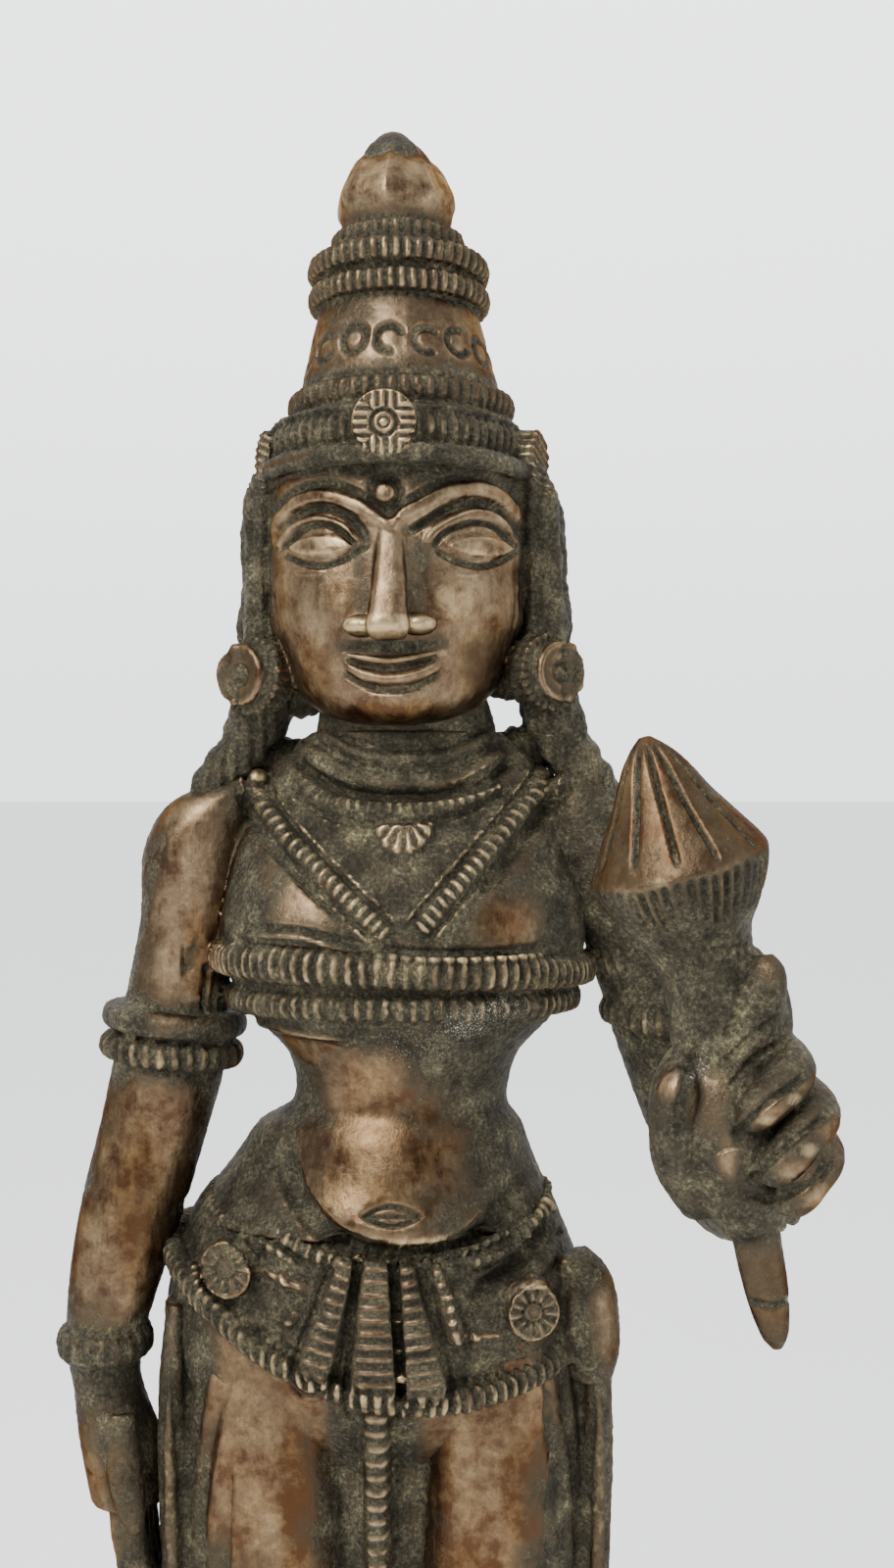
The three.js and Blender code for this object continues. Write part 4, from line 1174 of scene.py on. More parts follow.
def build_torso():
    forms = [
        loft([row for row in TRUNK if row[2] > 170], 96, 6, level=True),
        loft(RAISED_UPPER, 32, 6),
        loft(RAISED_FORE, 32, 6),
        loft(HANGING, 32, 6, level=True),
    ]
    forms += hanging_fingers()
    rings = chest_rings() + arm_rings()
    forms += [ring.form() for ring in rings]
    clay = Clay("torso", forms, 5)
    # Below the upper belt the skin draws in, under the girdle's
    _, up, _ = Ring(**UPPER_BELT).coordinates(clay.points)
    clay.offset -= 1.1 * ease(-0.2, -1.4, up) * (np.abs(clay.points[:, 0] - HIPS_X) < 22)
    clay.press()
    soil_torso(clay)
    for ring in rings:
        ring.carve(clay)
    carve_chest(clay)
    clay.finish("bronze", "figure")


# Lotus hand

HAND_DEPTH = -45
FIST = np.array((30.4, -45, 198.2))
STEM_TIP = (33.7, -45.4, 179.8)
BUD_FOOT = (27.7, -42.6, 213.4)
BUD_TIP = (22.7, -44.4, 230.8)
# Degrees round the bud from one petal's groove to the next, and from one chisel cut to the next
PETAL_TURN = 30
CUT_TURN = 8


def between(start, end, profile):
    """Round sections on the line from start to end, from pairs of share and radius."""
    start, end = np.array(start), np.array(end)
    return [[*(start + (end - start) * share), radius, radius] for share, radius in profile]


def from_fist(rows):
    """Sections of a loft whose middles are given from the fist's own."""
    return [[*(FIST + row[:3]), *row[3:]] for row in rows]


def hand_forms():
    """The palm, its heel, the wrist, three curled fingers, the forefinger along the bud, and the thumb."""
    forms = [
        ball(FIST + (-1.1, 1.6, 1), (6.1, 5.6, 7.2)),
        loft(from_fist(((-0.6, 1, -1.6, 5.4, 5.2), (0.6, 0.4, -5.4, 3.9, 4), (1.6, 0, -8.6, 2.5, 2.5)))),
        loft([
            [35.1, -31, 190.9, 4.3, 4.3], [34.6, -37, 193, 4.2, 4.2], [33.6, -42, 195.4, 4.4, 4.6],
            [32.6, -45, 197.4, 4, 4],
        ], 32, 6),
    ]
    # Three curled fingers, from their knuckles to their tips
    for knuckle, bend, tip in (
        ((33.4, -42.6, 204.6), (34.4, -47.2, 203.4), (31, -49.6, 200.4)),
        ((35.4, -42.6, 201), (36.4, -47.2, 199.8), (32.8, -49.6, 196)),
        ((35.8, -42.6, 197.4), (36.8, -46.8, 196.4), (34.2, -49, 193.4)),
    ):
        rows = [[*knuckle, 2.2, 2.2], [*bend, 2.1, 2.1]]
        rows.append([0.5 * (a + b) + c for a, b, c in zip(bend, tip, (0, -0.9, 0))] + [1.85, 1.9])
        rows += [[*tip, 1.7, 1.7], [tip[0] - 1, tip[1] + 1, tip[2] - 0.9, 0.8, 0.8]]
        forms.append(loft(rows, 24, 5))
    # The hand's edge under the bud, then the forefinger and the thumb
    forms.append(ball(FIST + (-0.4, 0.6, 8.6), (5.2, 3.4, 7)))
    for rows in (
        ((2.2, 0.8, 5, 2.3, 2.3), (1.9, -0.2, 8, 2, 2.1), (2, -1, 11, 1.9, 2.1), (2.1, -1.2, 13.2, 1.7, 1.8),
         (2, -1, 14.6, 0.8, 0.8)),
        ((-2.4, 2, -6.4, 2.4, 2.4), (-4.9, -0.6, -2.6, 2.3, 2.3), (-5.5, -1.8, 0.8, 2.1, 2.1),
         (-5.2, -2.6, 3.6, 1.9, 1.8), (-4.8, -2.8, 5.4, 0.8, 0.8)),
    ):
        forms.append(loft(from_fist(rows), 24, 5))
    return forms


def carve_bud(clay):
    """Grooves between the petals from the tip down, and a chisel's short cuts under the bud's widest line."""
    foot, tip = np.array(BUD_FOOT), np.array(BUD_TIP)
    length = np.linalg.norm(tip - foot)
    axis = (tip - foot) / length
    ahead = np.array((0, -1, 0)) + axis * axis[1]
    ahead /= np.linalg.norm(ahead)
    across = np.cross(ahead, axis)
    place = clay.points - foot
    share = place @ axis / length
    left, front = place @ across, place @ ahead
    radius = np.hypot(left, front)
    angle = np.degrees(np.arctan2(left, front))
    near = (radius < 9.5) & (share > 0.02) & (share < 1.05)
    turn = (angle - 10) / PETAL_TURN + 0.1 * np.sin(angle * TAU / 90)
    groove = np.radians(np.abs(turn - np.round(turn)) * PETAL_TURN) * radius
    low = 0.47 + 0.04 * np.sin(7 * np.round(turn))
    cut = near * ease(low - 0.04, low + 0.03, share) * ease(1, 0.88, share) * bell(groove, 0, 0.23)
    clay.offset -= 0.55 * cut
    clay.dirt += 0.8 * cut
    turn = angle / CUT_TURN + 1.4 * share
    groove = np.radians(np.abs(turn - np.round(turn)) * CUT_TURN) * radius
    depth = 0.65 + 0.35 * np.sin(5.3 * np.round(turn))
    cut = near * ease(0.08, 0.2, share) * ease(0.41, 0.37, share + 0.03 * depth) * bell(groove, 0, 0.26)
    clay.offset -= 0.55 * cut * depth
    clay.dirt += 0.5 * cut
    clay.wear += near * 0.22 * ease(0.18, 0.36, share) * (share < 0.42) * (1 - cut)
    clay.dirt -= near * (ease(0.34, 0.42, share) * 0.4 + 0.06 * ease(0.1, 0.3, share))
    clay.stain += near * 0.45 * ease(0.36, 0.44, share)
    # Painted shade darkens the upper bud towards its left side, and a painted highlight brightens its widest
    # line on the right side only, as seen from the front
    clay.dirt += near * 0.3 * ease(2, -7, left) * ease(0.5, 0.8, share)
    clay.wear += near * 0.35 * bell(share, 0.43, 0.06) * ease(-3, 4, left)


def carve_hand(clay):
    """Parts between fingers, the forefinger's nail, and where the hand is rubbed or dusty."""
    u, v = clay.seen(HAND_DEPTH)
    front = (clay.points[:, 1] < -40) & (u > 14) & (u < 42)
    for path, half, height in (
        ([(29.4, 203.4), (31.4, 205.4), (33.4, 207)], 0.5, -0.4),
        ([(36.6, 193.6), (37.6, 195.2)], 0.25, -0.25),
        ([(37.4, 193.8), (38.4, 195.4)], 0.25, -0.25),
        ([(26.8, 213.4), (29, 213), (31, 213.4)], 0.3, -0.25),
        ([(27.4, 208), (29.6, 207.4), (31, 208)], 0.3, -0.2),
        ([(29.4, 205.4), (30.6, 209), (30.8, 213)], 0.5, -0.35),
        ([(25.4, 199), (26.4, 203), (27.4, 205.4)], 0.6, -0.35),
        ([(30.2, 197.6), (32.8, 200.2), (36, 202.4)], 0.45, -0.5),
        ([(31.6, 193.8), (34.2, 196.4), (37.6, 199)], 0.45, -0.5),
        ([(29.8, 201.6), (32, 204), (34.6, 205.4)], 0.4, -0.4),
        ([(31.4, 192.4), (34, 192.2), (36.4, 193.6)], 0.4, -0.4),
        ([(31.6, 183.6), (33.4, 183.3), (34.6, 183.8)], 0.35, -0.35),
    ):
        clay.stroke(u, v, path, half, height, front, dirt=0.6)
    # The nail of the forefinger
    away = np.hypot((u - 32.8) / 1.3, (v - 211.4) / 1.5)
    nail = clip01(1.3 - away) * front
    clay.offset -= 0.25 * clip01(1.2 - away) * front
    clay.wear += 0.35 * nail
    clay.dirt -= 0.5 * nail
    clay.dab(
        "dirt", ((28.9, -50, 196.2), (1.1, 4, 2.2), -0.8), ((24.2, -48, 202.4), (1.2, 4, 1.3), -0.8),
        ((32, -50, 200.6), (1.8, 3, 1.6), -0.7), ((33.8, -50, 196.3), (1.8, 3, 1.3), -0.7),
        ((36, -50, 202.6), (2, 3, 1.2), -0.35), ((36.4, -49, 193.8), (2, 3, 1.2), -0.6),
        ((39.4, -46, 197.4), (1.4, 3, 2.4), -0.6), ((37.6, -49, 199), (1.6, 3, 1), -0.4),
        ((33, -46, 185), (3, 4, 5), -0.42), ((27.4, -50, 201), (2, 4, 4), -0.35),
        ((36.6, -49, 196), (3, 3, 5), -0.3),
    )
    clay.dab(
        "wear", ((33.8, -50, 201.6), (1, 3, 0.6), 1), ((32, -50, 200), (1.2, 3, 0.5), 0.9),
        ((34.8, -50, 197.6), (1.1, 3, 0.9), 1.1), ((33.4, -50, 195.4), (1.3, 3, 0.6), 0.6),
        ((38.6, -46, 195.6), (0.8, 3, 2), 0.5),
    )
    clay.dab("dirt", ((28.6, -48, 209), (5, 6, 4.5), 0.25))
    clay.dab("stain", ((33, -46, 184), (3, 4, 5), 0.5))
    clay.dab("dust", ((26.6, -49, 204), (1.6, 3, 2), 0.6))


def build_lotus_hand():
    stem = [[0, 0.4], [0.04, 1.2], [0.14, 1.8], [0.3, 2.1], [0.62, 2.6], [0.8, 3.6], [0.92, 3.9], [1.04, 4.6]]
    bud = [
        [-0.06, 4.3], [0.04, 4.7], [0.14, 5.9], [0.26, 7.1], [0.36, 7.65], [0.42, 7.5], [0.56, 5.9],
        [0.7, 4.3], [0.84, 3], [0.94, 1.7], [1, 0.5],
    ]
    forms = hand_forms()
    forms.append(loft(between(STEM_TIP, BUD_FOOT, stem), 28, 6))
    forms.append(loft(between(BUD_FOOT, BUD_TIP, bud), 48, 5))
    clay = Clay("lotus_hand", forms, 5)
    clay.grain = 0.45
    clay.dirt += 0.85
    carve_bud(clay)
    carve_hand(clay)
    clay.finish("bronze", "figure")


# Girdle: the hips with their belts, tassels and sash

GIRDLE_DEPTH = -12
# Tassels: top, foot and half widths there, as the eye sees them at the girdle
TASSELS = (
    ((-4.1, 177.8), (-8, 164.8), 0.9, 1.75), ((-1.3, 177.4), (-1.5, 162.1), 1.5, 2.5),
    ((1.7, 177.2), (4.2, 162.2), 0.9, 2.2), ((4.8, 177), (7.2, 169), 0.6, 0.9),
)


def girdle_rings():
    """The upper belt and the fringed lower one."""
    return [
        Ring(**UPPER_BELT, notches=84, cut=0.4),
        Ring((HIPS_X, 1.8, 171.3), (23.4, 16), (1.3, 1.35), 8, 2, -4.6, notches=112, cut=0.7),
    ]


def unseen(u, v, y):
    """The point at y that shows at (u, v) on the girdle's upright plane."""
    scale = (y - CAMERA_AT[1]) / (GIRDLE_DEPTH - CAMERA_AT[1])
    return [CAMERA_AT[0] + (u - CAMERA_AT[0]) * scale, y, CAMERA_AT[2] + (v - CAMERA_AT[2]) * scale]


def tassel_forms():
    forms = []
    for (u0, v0), (u1, v1), thin, wide in TASSELS:
        rows = []
        for share, y in ((0, -12.8), (0.3, -13.8), (0.6, -14.7), (0.88, -15), (1, -14.8)):
            half = thin + (wide - thin) * min(1, share * 1.25)
            if share == 1:
                half *= 0.75
            rows.append([*unseen(u0 + (u1 - u0) * share, v0 + (v1 - v0) * share, y), half, 1.3])
        forms.append(loft(rows, 20, 5, power=2.6))
    return forms


def carve_girdle(clay):
    """Folds, cords, ribbed tassels and rosettes."""
    u, v = clay.seen(GIRDLE_DEPTH)
    _, y, z = clay.points.T
    front = (y < 0) & (np.abs(u) < 24)
    clay.stroke(u, v, BELLY_CREASE, 1.3, -0.9, front, dirt=0.2)
    # Folds and cords of the hip cloth: path, half width, height, dirt and wear
    for path, half, height, dirt, wear in (
        ([(-16.6, 180.4), (-13.6, 175.9), (-9.6, 172.6), (-7, 171.6)], 0.9, -0.6, 0.1, 0),
        ([(-19.6, 181), (-16, 179.4), (-12.6, 178)], 0.7, -0.4, 0, 0),
        ([(16.4, 180.8), (13.8, 177), (10.4, 174.2), (8.6, 172.4)], 1.3, -1.3, 0.3, 0),
        ([(17.4, 177.8), (14.8, 175.2), (11.4, 173.2)], 0.7, 0.5, 0, 0.1),
        ([(-9.4, 172), (-10.6, 169.6), (-8.8, 167.6)], 0.6, 0.35, 0, 0.15),
        ([(-12.6, 171.2), (-9.6, 170.4)], 0.5, 0.3, 0, 0.2),
        ([(6.4, 173.6), (6.8, 170), (7.8, 167.4)], 0.5, 0.3, 0, 0.15),
        ([(8.6, 169.4), (9.6, 167.8)], 0.6, 0.4, 0, 0.3),
        ([(-14.2, 176.2), (-11.4, 175.2), (-8.4, 174)], 0.75, 0.75, -0.3, 0.3),
        ([(-11, 176.2), (-10.4, 174)], 0.5, 0.5, -0.2, 0.3),
        ([(8.4, 169.1), (11.8, 169.3)], 0.6, 0.5, -0.2, 0.35),
        ([(-20.4, 177.4), (-19.6, 173.8), (-17, 171.6), (-13.4, 170.4)], 0.7, 0.45, 0, 0.08),
        ([(-13.8, 178.9), (-11.4, 177.8), (-8.6, 175.6)], 0.6, 0.45, 0, 0.1),
        ([(18.6, 177.6), (17.6, 175), (14.4, 174.6)], 0.8, 0.5, 0, 0.08),
        ([(19.6, 174), (19, 170), (16.6, 167.6), (12.8, 167)], 0.7, 0.4, 0, 0.1),
        ([(18.4, 180.4), (15.6, 177.6), (12, 175.6), (9.6, 174.8)], 0.5, -0.5, 0.2, 0),
    ):
        clay.stroke(u, v, path, half, height, front, dirt, wear)
    for path, half, notch in (
        ([(-16.4, 187.6), (-14.2, 183.4), (-11.4, 180), (-8.2, 177.8), (-5, 176.8)], 0.8, 0.4),
        ([(17, 183.4), (14.6, 180), (11.6, 177.8), (8.2, 176.6)], 0.7, 0.25),
    ):
        clay.cord(u, v, path, half, 0.9, front, 1.25, notch, wear=0.3)
    # Ribs across the tassels, inside a plain rim
    for (u0, v0), (u1, v1), thin, wide in TASSELS:
        where, distance, gone = clay.follow(u, v, [(u0, v0), (u1, v1)], front & (y < -12), wide + 1)
        length = np.hypot(u1 - u0, v1 - v0)
        half = thin + (wide - thin) * clip01(gone / length * 1.25)
        on = clip01((half * 0.86 - distance) / 0.25) * ease(length, length - 0.9, gone)
        wave = 0.5 + 0.5 * np.cos(TAU * (gone / 1.36 + 0.08 * (distance / half) ** 2))
        clay.offset[where] -= 0.34 * on * (1 - wave) ** 1.4
        clay.wear[where] += 0.28 * on * wave + 0.2 * clip01(1 - on) * (distance < half * 1.05)
        clay.dirt[where] += (0.2 - 0.6 * wave) * on
        clay.offset[where] -= 0.5 * bell(distance - half, 0.4, 0.3)
    # Rosettes: petals between a smooth rim and an eye
    for centre, radius in (((-17.1, 176.1), 2.95), ((15.3, 171.5), 2.85)):
        away = np.hypot(u - centre[0], v - centre[1])
        angle = np.arctan2(v - centre[1], u - centre[0])
        near = front & (away < radius + 0.5)
        petals = (0.5 + 0.5 * np.cos(11 * angle + 0.6)) ** 0.6
        between = (away > 0.34 * radius) * (away < 0.86 * radius)
        clay.offset -= near * between * 0.42 * (1 - petals)
        clay.offset -= near * 0.25 * bell(away, 0.36 * radius, 0.2)
        clay.offset -= near * 0.15 * bell(away, 0.2 * radius, 0.2)
        rim, eye = away > 0.84 * radius, away < 0.3 * radius
        clay.wear += near * (0.25 * petals * between + 0.28 * rim + 0.15 * eye)
        clay.dirt -= near * 0.3
        clay.dirt += near * between * 0.5 * (1 - petals)
    clay.dust += front * 0.15 * (z > 180)


def build_girdle():
    forms = [loft([row for row in TRUNK if row[2] < 193], 96, 6, level=True)]
    for side in (-1, 1):
        forms.append(ball((HIPS_X + side * 10.5, 10, 168), (11, 9.6, 12.6)))
    rings = girdle_rings()
    forms += [ring.form() for ring in rings]
    # Rosettes, tassels and the knot at her left hip
    forms.append(disc((-16.6, -9.6, 175.7), (-0.4, -1, 0), 3, 3.4, 1.1))
    forms.append(disc((14.9, -9.4, 171), (0.4, -1, 0), 2.9, 3, 1.1))
    forms += tassel_forms()
    forms.append(loft([
        [20, -4, 175.4, 1.6, 2], [21.4, -4, 172, 3, 3.4], [22, -4, 166, 3.2, 4], [21.6, -4, 162, 2.6, 3],
    ], 20))
    clay = Clay("girdle", forms, 4)
    # Above the upper belt the skin draws in, under the torso's
    _, up, _ = rings[0].coordinates(clay.points)
    clay.offset -= 1.1 * ease(0.2, 1.4, up)
    clay.press()
    clay.dirt += 0.95
    for ring in rings:
        ring.carve(clay)
    carve_girdle(clay)
    # The lower belt goes on behind, laid over the seat
    angle, up, _ = rings[1].coordinates(clay.points)
    belt = bell(up, 0, 1.25, 4) * ease(5, 8, clay.points[:, 1])
    wave = 0.5 + 0.5 * np.cos(104 * angle)
    clay.offset += belt * (1.2 - 0.5 * (1 - wave) ** 2)
    clay.wear += 0.35 * belt * wave
    for side in (-1, 1):
        clay.dab("dirt", ((HIPS_X + side * 10.5, 19, 168), (9, 5, 9), -0.6))
    clay.dab("dirt", ((23.4, -5, 169), (2, 5, 6), -0.7), ((13, -9, 182), (8, 6, 6), 0.5))
    # Under the fringe the cloth clings to the thighs and is rubbed bare, but for a dark wedge between them
    x, y, _ = clay.points.T
    bare = ease(-1.5, -2.6, up) * ease(3.6, 6, np.abs(x + 1.5)) * ease(19, 15, np.abs(x - HIPS_X)) * (y < 0)
    clay.dirt -= 0.8 * bare
    clay.stain += 0.25 * bare
    clay.finish("bronze", "figure")


# Legs, cloth, sashes and feet

def leg_forms():
    """Legs under the cloth, feet with their toes, the hanging sashes, and the cloth and pleat between."""
    forms = []
    for side in (-1, 1):
        lean = -1.2 if side < 0 else -0.4
        # Leg in its cloth, ankle and foot
        forms.append(loft([
            [side * 11 + lean, 2.2, 168, 10.8, 12.6], [side * 11.6 + lean, 0.4, 150, 11, 12.2],
            [side * 11.2 + lean, -1, 130, 10.2, 10.8], [side * 10.6 + lean * 0.6, -1.8, 112, 8.9, 9.3],
            [side * 10.3 + lean * 0.4, -2, 99, 8.1, 8.7], [side * 10, 0.2, 84, 7.5, 8.6],
            [side * 9.6, 1, 66, 6.4, 7.2], [side * 9.3, 0.8, 50, 6.4, 6.8], [side * 9.3, 0.8, 47, 6.6, 7],
        ], 48, 6, level=True))
        forms.append(loft([
            [side * 9.3, 0.8, 50, 4.6, 5.1], [side * 9.2, 0.8, 41, 4.5, 5.2],
            [side * 9.2, 0.4, SOLE - 1, 5, 6],
        ], 32, 4, level=True))
        forms.append(loft([
            [side * 9.2, 8.2, SOLE + 1.6, 2.4, 2.4], [side * 9.2, 5.6, SOLE + 2, 4, 3.8],
            [side * 9.4, -2, SOLE + 2.4, 4.6, 4.8], [side * 9.9, -10, SOLE + 1, 5.6, 3],
            [side * 10.3, -15, SOLE + 0.4, 5, 1.8],
        ], 32))
        # Toes
        for across, y, radius in ((6.4, -17.2, 1.8), (9, -17.2, 1.5), (11.6, -16.4, 1.4), (14, -15, 1.3)):
            forms.append(ball((side * across, y, SOLE + 1), (radius, 2.4, radius)))
        # Two layers of sash
        for ahead, low, thick in ((0, 58, 2.2), (4.6, 92, 1.8)):
            clear = 0 if low < 60 else 1.6
            forms.append(loft([
                [side * 22.6 - 0.8, 2 - ahead, 170, 1.4, 3],
                [side * 23.2 - 0.6, 1.6 - ahead, 156, thick, 4.8],
                [side * (20.4 + clear) - 0.4, 2 - ahead, (156 + low) / 2, thick, 4.8],
                [side * (18.6 + clear), 2.4 - ahead, low + 10, thick + 0.3, 5.8],
                [side * (19 + clear), 2.6 - ahead, low, thick * 0.8, 7.4],
            ], 28, 6))
    # Cloth between the legs, and the pleat that hangs in front of it
    forms.append(loft([
        [HIPS_X + 0.6, 1.2, 166, 10, 10.6], [-0.8, 0.4, 150, 9, 9.8], [-0.5, 0, 120, 8, 8],
        [-0.2, 0.2, 90, 8, 7], [0, 0.6, 48, 8, 6.4],
    ], 32, 6, level=True))
    forms.append(loft([
        [-1.2, -12.2, 164, 1.5, 2.4], [-1.1, -9.6, 148, 1.5, 4.4], [-0.6, -7.8, 125, 1.6, 5],
        [-0.2, -6.6, 98, 1.7, 5], [0, -6, 48, 2.6, 4.6],
    ], 24, 6, level=True, power=3))
    return forms


def carve_legs(clay):
    """Ribs, pleats, folds, hem and anklets."""
    x, y, z = clay.points.T
    # The pleat in the middle is ribbed all the way down
    wave = 0.5 + 0.5 * np.cos(TAU * z / 1.55)
    near = (y < -9) & (np.abs(x + 1.1 - (160 - z) * 0.01) < 2)
    clay.offset -= near * 0.4 * (1 - wave) ** 1.8
    clay.wear += near * 0.3 * wave
    # Pleats down the sashes, folds of the clinging cloth, the hem
    outside = np.abs(x) > 16.5
    pleats = 0.5 + 0.5 * np.cos(TAU * (y + 0.03 * (z - 100)) / 2.1)
    clay.offset -= outside * 0.45 * (1 - pleats) ** 1.4 * ease(170, 160, z)
    clay.wear += outside * 0.25 * pleats ** 2
    thigh = ~outside & (z > 48) & (np.abs(x) > 3)
    fold = z + 0.9 * np.abs(np.abs(x) - 10) - 0.5 * np.abs(y)
    clay.offset -= thigh * 0.2 * np.exp(-((fold % 13 - 6.5) / 0.6) ** 2) * ease(150, 120, z) * (z < 150)
    hem = bell(z, 48.6, 0.5) * (np.abs(x) < 18)
    clay.offset += 0.35 * hem
    clay.wear += 0.5 * hem
    # Anklets
    for level in (42.6, 40.8):
        ring = bell(z, level, 0.6)
        notch = 0.5 + 0.5 * np.cos(20 * np.arctan2(y - 0.8, np.abs(x) - 9.2))
        clay.offset += ring * (0.5 - 0.25 * (1 - notch))
        clay.wear += 0.4 * ring * notch


def soil_legs(clay):
    """The bare fronts of thighs and shins, and the stains on them."""
    clay.dirt += 0.92
    for side in (-1, 1):
        for height, wide, amount in (
            (164, 7, 0.66), (158, 7.4, 0.74), (150, 7.4, 0.82), (138, 7.4, 0.84), (124, 6.8, 0.85),
            (110, 6, 0.75), (97, 5.6, 0.8), (80, 4.4, 0.45), (64, 4, 0.3),
        ):
            middle = HIPS_X * ease(90, 160, height) + side * 11.2
            clay.dab("dirt", ((middle, -10, height), (wide, 8, 9), -amount))
        clay.dab("stain", ((side * 11 - 0.8, -8, 142), (13, 9, 40), 0.25))
        clay.dab(
            "dirt", ((side * 9.6, -13, SOLE + 3), (4, 6, 3), -0.5),
            ((side * 11, 10, 140), (6, 6, 18), -0.5),
        )
    for centre, radii, amount in (
        ((-8, -11, 157), (3.4, 5, 4), 0.8), ((-7.6, -11, 149), (3.6, 5, 6), 0.9),
        ((-14, -10, 142), (3, 5, 5), 0.5), ((4.6, -11, 156), (2.2, 5, 5), 0.9),
        ((15.4, -10, 152), (3, 5, 6), 0.8), ((9, -11, 143), (4, 5, 4), 0.6),
        ((-11, -10, 120), (4, 6, 8), 0.5), ((12, -10, 118), (4, 6, 8), 0.5),
    ):
        clay.dab("stain", (centre, radii, amount))
        clay.dab("dirt", (centre, radii, 0.18))


def build_legs():
    clay = Clay("legs", leg_forms(), 5)
    clay.points[:, 2] = np.maximum(clay.points[:, 2], SOLE)
    clay.write()
    soil_legs(clay)
    carve_legs(clay)
    clay.finish("bronze", "figure")


# Plinth

PETALS = 12
SLAB_TOP = 10
DRUM_RADIUS = 42


def build_plinth():
    slab = bmesh.new()
    room = Matrix.Diagonal((2 * PLINTH_HALF, 2 * PLINTH_HALF, SLAB_TOP, 1))
    bmesh.ops.create_cube(slab, size=1, matrix=Matrix.Translation((0, 0, SLAB_TOP / 2)) @ room)
    bmesh.ops.bevel(
        slab, geom=list(slab.edges), offset=1.2, segments=3, profile=0.5, affect="EDGES", material=-1,
    )
    levels = spline([
        [-0.1, 0.9, 0.02], [0, 0.97, 0.04], [0.12, 1, 0.06], [0.36, 0.88, 0.03], [0.5, 0.8, 0],
        [0.64, 0.85, 0.03], [0.9, 0.95, 0.05], [1, 0.87, 0],
    ], 5)

    def place(angle, row):
        level, share, depth = levels[row]
        swell = depth * (abs(math.cos(angle * PETALS / 2)) - 0.6)
        radius = DRUM_RADIUS * (share + swell)
        height = SLAB_TOP + (PLINTH_TOP - SLAB_TOP) * min(level, 1)
        return Vector((radius * math.cos(angle), radius * math.sin(angle), height))

    drum = rolled_grid(PETALS * 20, len(levels) - 1, place)
    clay = Clay("plinth", [slab, drum], 1)
    z = clay.points[:, 2]
    clay.dirt += 0.55 - 0.4 * ease(30, 33, z) - 0.2 * ease(9, 10.2, z) * (z < 12)
    clay.finish("plinth_bronze", "plinth")


# Stage

def build_stage():
    """The pale floor, the soft light and the camera at the photo's place."""
    sizes = bpy.context.scene.statue_sizes
    form = bmesh.new()
    bmesh.ops.create_grid(form, x_segments=8, y_segments=8, size=sizes.floor_half)
    floor = added("floor", mesh_of("floor", form))
    material = bpy.data.materials.new("floor")
    material.use_nodes = True
    shader = material.node_tree.nodes["Principled BSDF"]
    shader.inputs["Base Color"].default_value = (0.92, 0.92, 0.91, 1)
    shader.inputs["Roughness"].default_value = 0.9
    floor.data.materials.append(material)

    world = bpy.data.worlds.new("studio")
    world.use_nodes = True
    w = Wiring(world.node_tree)
    direction = w.node("ShaderNodeSeparateXYZ", {0: w.node("ShaderNodeTexCoord").outputs["Generated"]})
    _, ahead, up = direction.outputs
    behind = w.product(w.level(ahead, -0.35, 0.75), w.total((w.level(up, 0, 0.4), 0.28), 0.74))
    strength = w.total((behind, 2.6), (w.level(up, 0.35, 1), 0.8), 0.46)
    background = w.node("ShaderNodeBackground", {"Color": (0.95, 0.97, 1, 1), "Strength": strength})
    w.node("ShaderNodeOutputWorld", {"Surface": background.outputs[0]})
    bpy.context.scene.world = world

    target = Vector((0, 0, 0.2))
    for name, place, size, power, color in (
        ("key", (-0.3, -0.5, 0.66), sizes.key_width, 7.8, (1, 0.98, 0.95)),
        ("fill", (0.6, -0.35, 0.35), sizes.fill_width, 1.6, (0.95, 0.98, 1)),
    ):
        lamp = bpy.data.lights.new(name, "AREA")
        lamp.size, lamp.energy, lamp.color = size, power, color
        light = added(name, lamp)
        light.location = place
        light.rotation_euler = (Vector(place) - target).to_track_quat("Z", "Y").to_euler()

    view = bpy.data.cameras.new("camera")
    view.sensor_fit = "VERTICAL"
    view.sensor_height = SENSOR_HEIGHT
    view.lens = LENS
    view.clip_start = 0.01
    camera = added("camera", view)
    camera.location = Vector(CAMERA_AT) * MM
    camera.rotation_euler = (math.pi / 2, 0, 0)
    bpy.context.scene.camera = camera


# Add-on

def length(name, description, default):
    return FloatProperty(name=name, description=description, default=default, unit="LENGTH")


def skin(part, default):
    return length(f"{part} skin", f"Spacing of the vertices before they are thinned, {part.lower()}", default)


def color(name, description, default):
    return FloatVectorProperty(name=name, description=description, default=default, subtype="COLOR", size=3)


class StatueSizes(bpy.types.PropertyGroup):
    """Sizes of the skins, the marks on them and the stage; the statue's own size is the frame's."""

    crown_skin: skin("Crown", 0.0002)
    head_skin: skin("Head", 0.0002)
    torso_skin: skin("Torso", 0.00027)
    lotus_hand_skin: skin("Lotus hand", 0.00017)
    girdle_skin: skin("Girdle", 0.00022)
    legs_skin: skin("Legs", 0.00033)
    plinth_skin: skin("Plinth", 0.00045)
    casting_grain: length("Casting grain", "Height of the grains on dirty bronze", 0.00007)
    tool_marks: length("Tool marks", "Height of the finest marks, which only the shading shows", 0.00025)
    floor_half: length("Floor", "Half the floor's width", 20)
    key_width: length("Key light", "Width of the lamp over her right shoulder", 0.45)
    fill_width: length("Fill light", "Width of the weaker lamp on her left", 0.5)


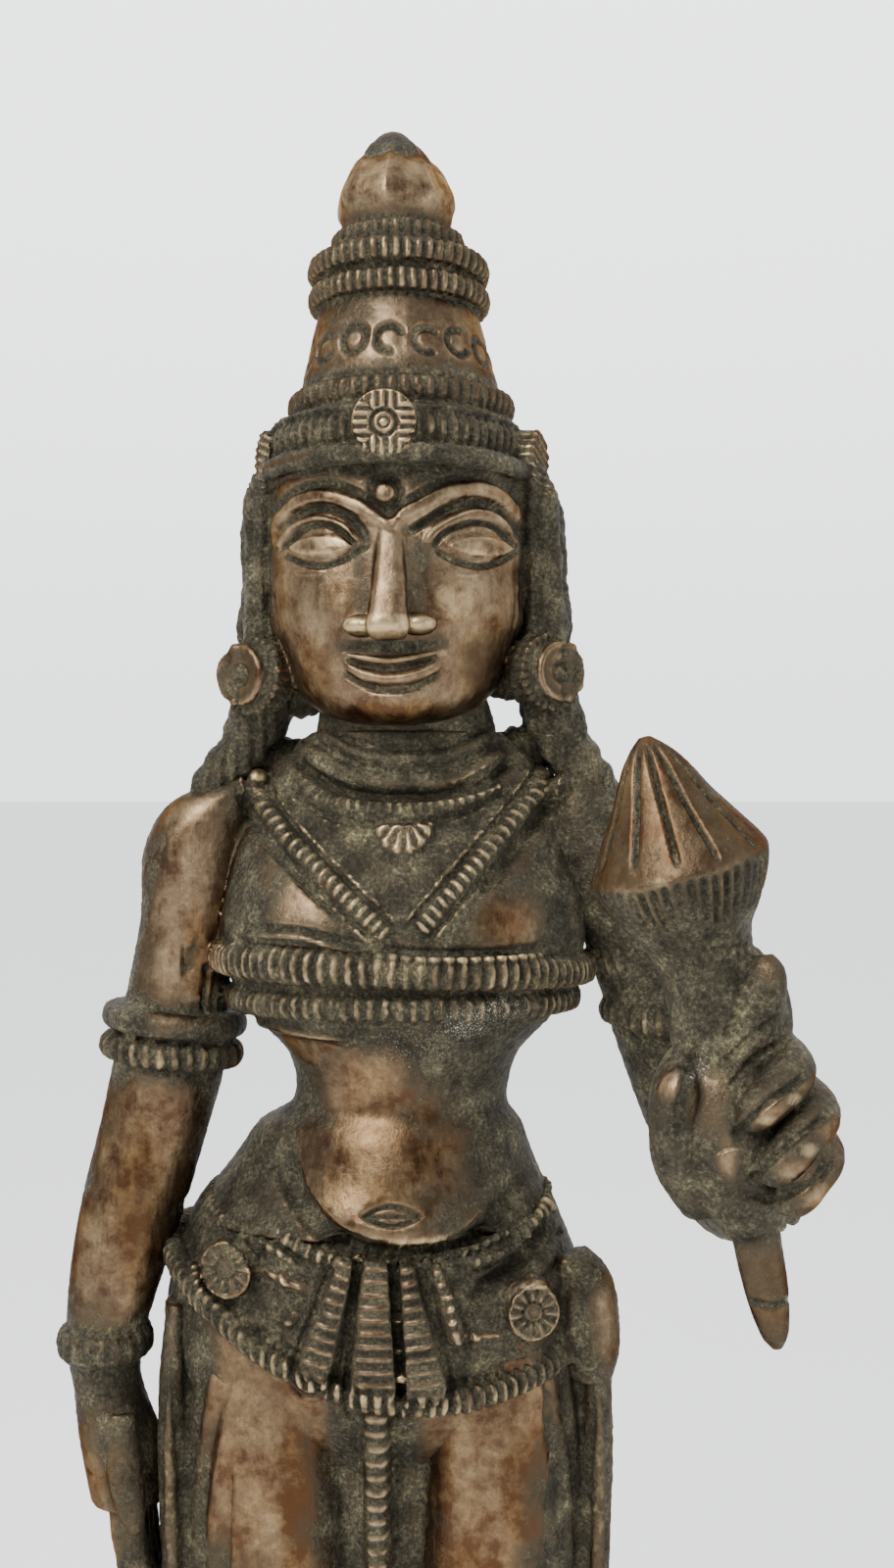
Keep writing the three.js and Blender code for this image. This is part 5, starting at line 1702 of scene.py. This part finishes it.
class StatueFinish(bpy.types.PropertyGroup):
    """Colours of the bronze, linear, as base colours."""

    copper: color("Copper", "Rubbed bronze between its blotches", (0.185, 0.128, 0.076))
    rubbed: color("Rubbed", "Palest, most handled bronze", (0.32, 0.232, 0.138))
    blotch: color("Blotch", "Dark red-brown blotches", (0.072, 0.04, 0.024))
    warmth: color("Warmth", "Factor that reddens the bronze where it is stained", (0.94, 0.8, 0.58))
    brass: color("Brass", "Bare metal on ridges", (0.48, 0.36, 0.2))
    film: color("Film", "Dark brown skin between bare metal and dirt", (0.055, 0.043, 0.028))
    grime: color("Grime", "Green-black dirt in the hollows", (0.04, 0.036, 0.025))
    verdigris: color("Verdigris", "Olive green grains", (0.094, 0.084, 0.052))
    dust: color("Dust", "Yellow-green specks", (0.27, 0.24, 0.12))
    white_dust: color("White dust", "Pale dust caught in the deepest places", (0.6, 0.6, 0.55))


class STATUE_OT_crown(bpy.types.Operator):
    """Cast the crown with its notched rings and punched cone"""

    bl_idname = "statue.crown"
    bl_label = "Crown"

    def execute(self, context):
        build_crown()
        return {"FINISHED"}


class STATUE_OT_head(bpy.types.Operator):
    """Cast the head with its face, diadem, hair and earrings"""

    bl_idname = "statue.head"
    bl_label = "Head"

    def execute(self, context):
        build_head()
        return {"FINISHED"}


class STATUE_OT_torso(bpy.types.Operator):
    """Cast the chest, the belly and both arms"""

    bl_idname = "statue.torso"
    bl_label = "Torso"

    def execute(self, context):
        build_torso()
        return {"FINISHED"}


class STATUE_OT_lotus_hand(bpy.types.Operator):
    """Cast the raised hand with the lotus bud"""

    bl_idname = "statue.lotus_hand"
    bl_label = "Lotus hand"

    def execute(self, context):
        build_lotus_hand()
        return {"FINISHED"}


class STATUE_OT_girdle(bpy.types.Operator):
    """Cast the hips with their belts, tassels and sash"""

    bl_idname = "statue.girdle"
    bl_label = "Girdle"

    def execute(self, context):
        build_girdle()
        return {"FINISHED"}


class STATUE_OT_legs(bpy.types.Operator):
    """Cast the legs, the cloth, the sash ends and the feet"""

    bl_idname = "statue.legs"
    bl_label = "Legs"

    def execute(self, context):
        build_legs()
        return {"FINISHED"}


class STATUE_OT_plinth(bpy.types.Operator):
    """Cast the slab and the lotus drum that she stands on"""

    bl_idname = "statue.plinth"
    bl_label = "Plinth"

    def execute(self, context):
        build_plinth()
        return {"FINISHED"}


class STATUE_OT_stage(bpy.types.Operator):
    """Lay the floor, hang the lights and set the camera"""

    bl_idname = "statue.stage"
    bl_label = "Stage"

    def execute(self, context):
        build_stage()
        return {"FINISHED"}


OPERATORS = (
    STATUE_OT_crown, STATUE_OT_head, STATUE_OT_torso, STATUE_OT_lotus_hand, STATUE_OT_girdle, STATUE_OT_legs,
    STATUE_OT_plinth, STATUE_OT_stage,
)


class STATUE_PT_panel(bpy.types.Panel):
    """Sizes, colours and a button for each piece"""

    bl_label = "Statue"
    bl_idname = "STATUE_PT_panel"
    bl_space_type = "VIEW_3D"
    bl_region_type = "UI"
    bl_category = "Statue"

    def draw(self, context):
        for group in (context.scene.statue_sizes, context.scene.statue_finish):
            for name in type(group).__annotations__:
                self.layout.prop(group, name)
        for operator in OPERATORS:
            self.layout.operator(operator.bl_idname)


CLASSES = (StatueSizes, StatueFinish, *OPERATORS, STATUE_PT_panel)


def register():
    for item in CLASSES:
        bpy.utils.register_class(item)
    bpy.types.Scene.statue_sizes = PointerProperty(type=StatueSizes)
    bpy.types.Scene.statue_finish = PointerProperty(type=StatueFinish)


def unregister():
    del bpy.types.Scene.statue_finish
    del bpy.types.Scene.statue_sizes
    for item in reversed(CLASSES):
        bpy.utils.unregister_class(item)


def main():
    register()
    for operator in OPERATORS:
        group, name = operator.bl_idname.split(".")
        getattr(getattr(bpy.ops, group), name)()


if __name__ == "__main__":
    main()
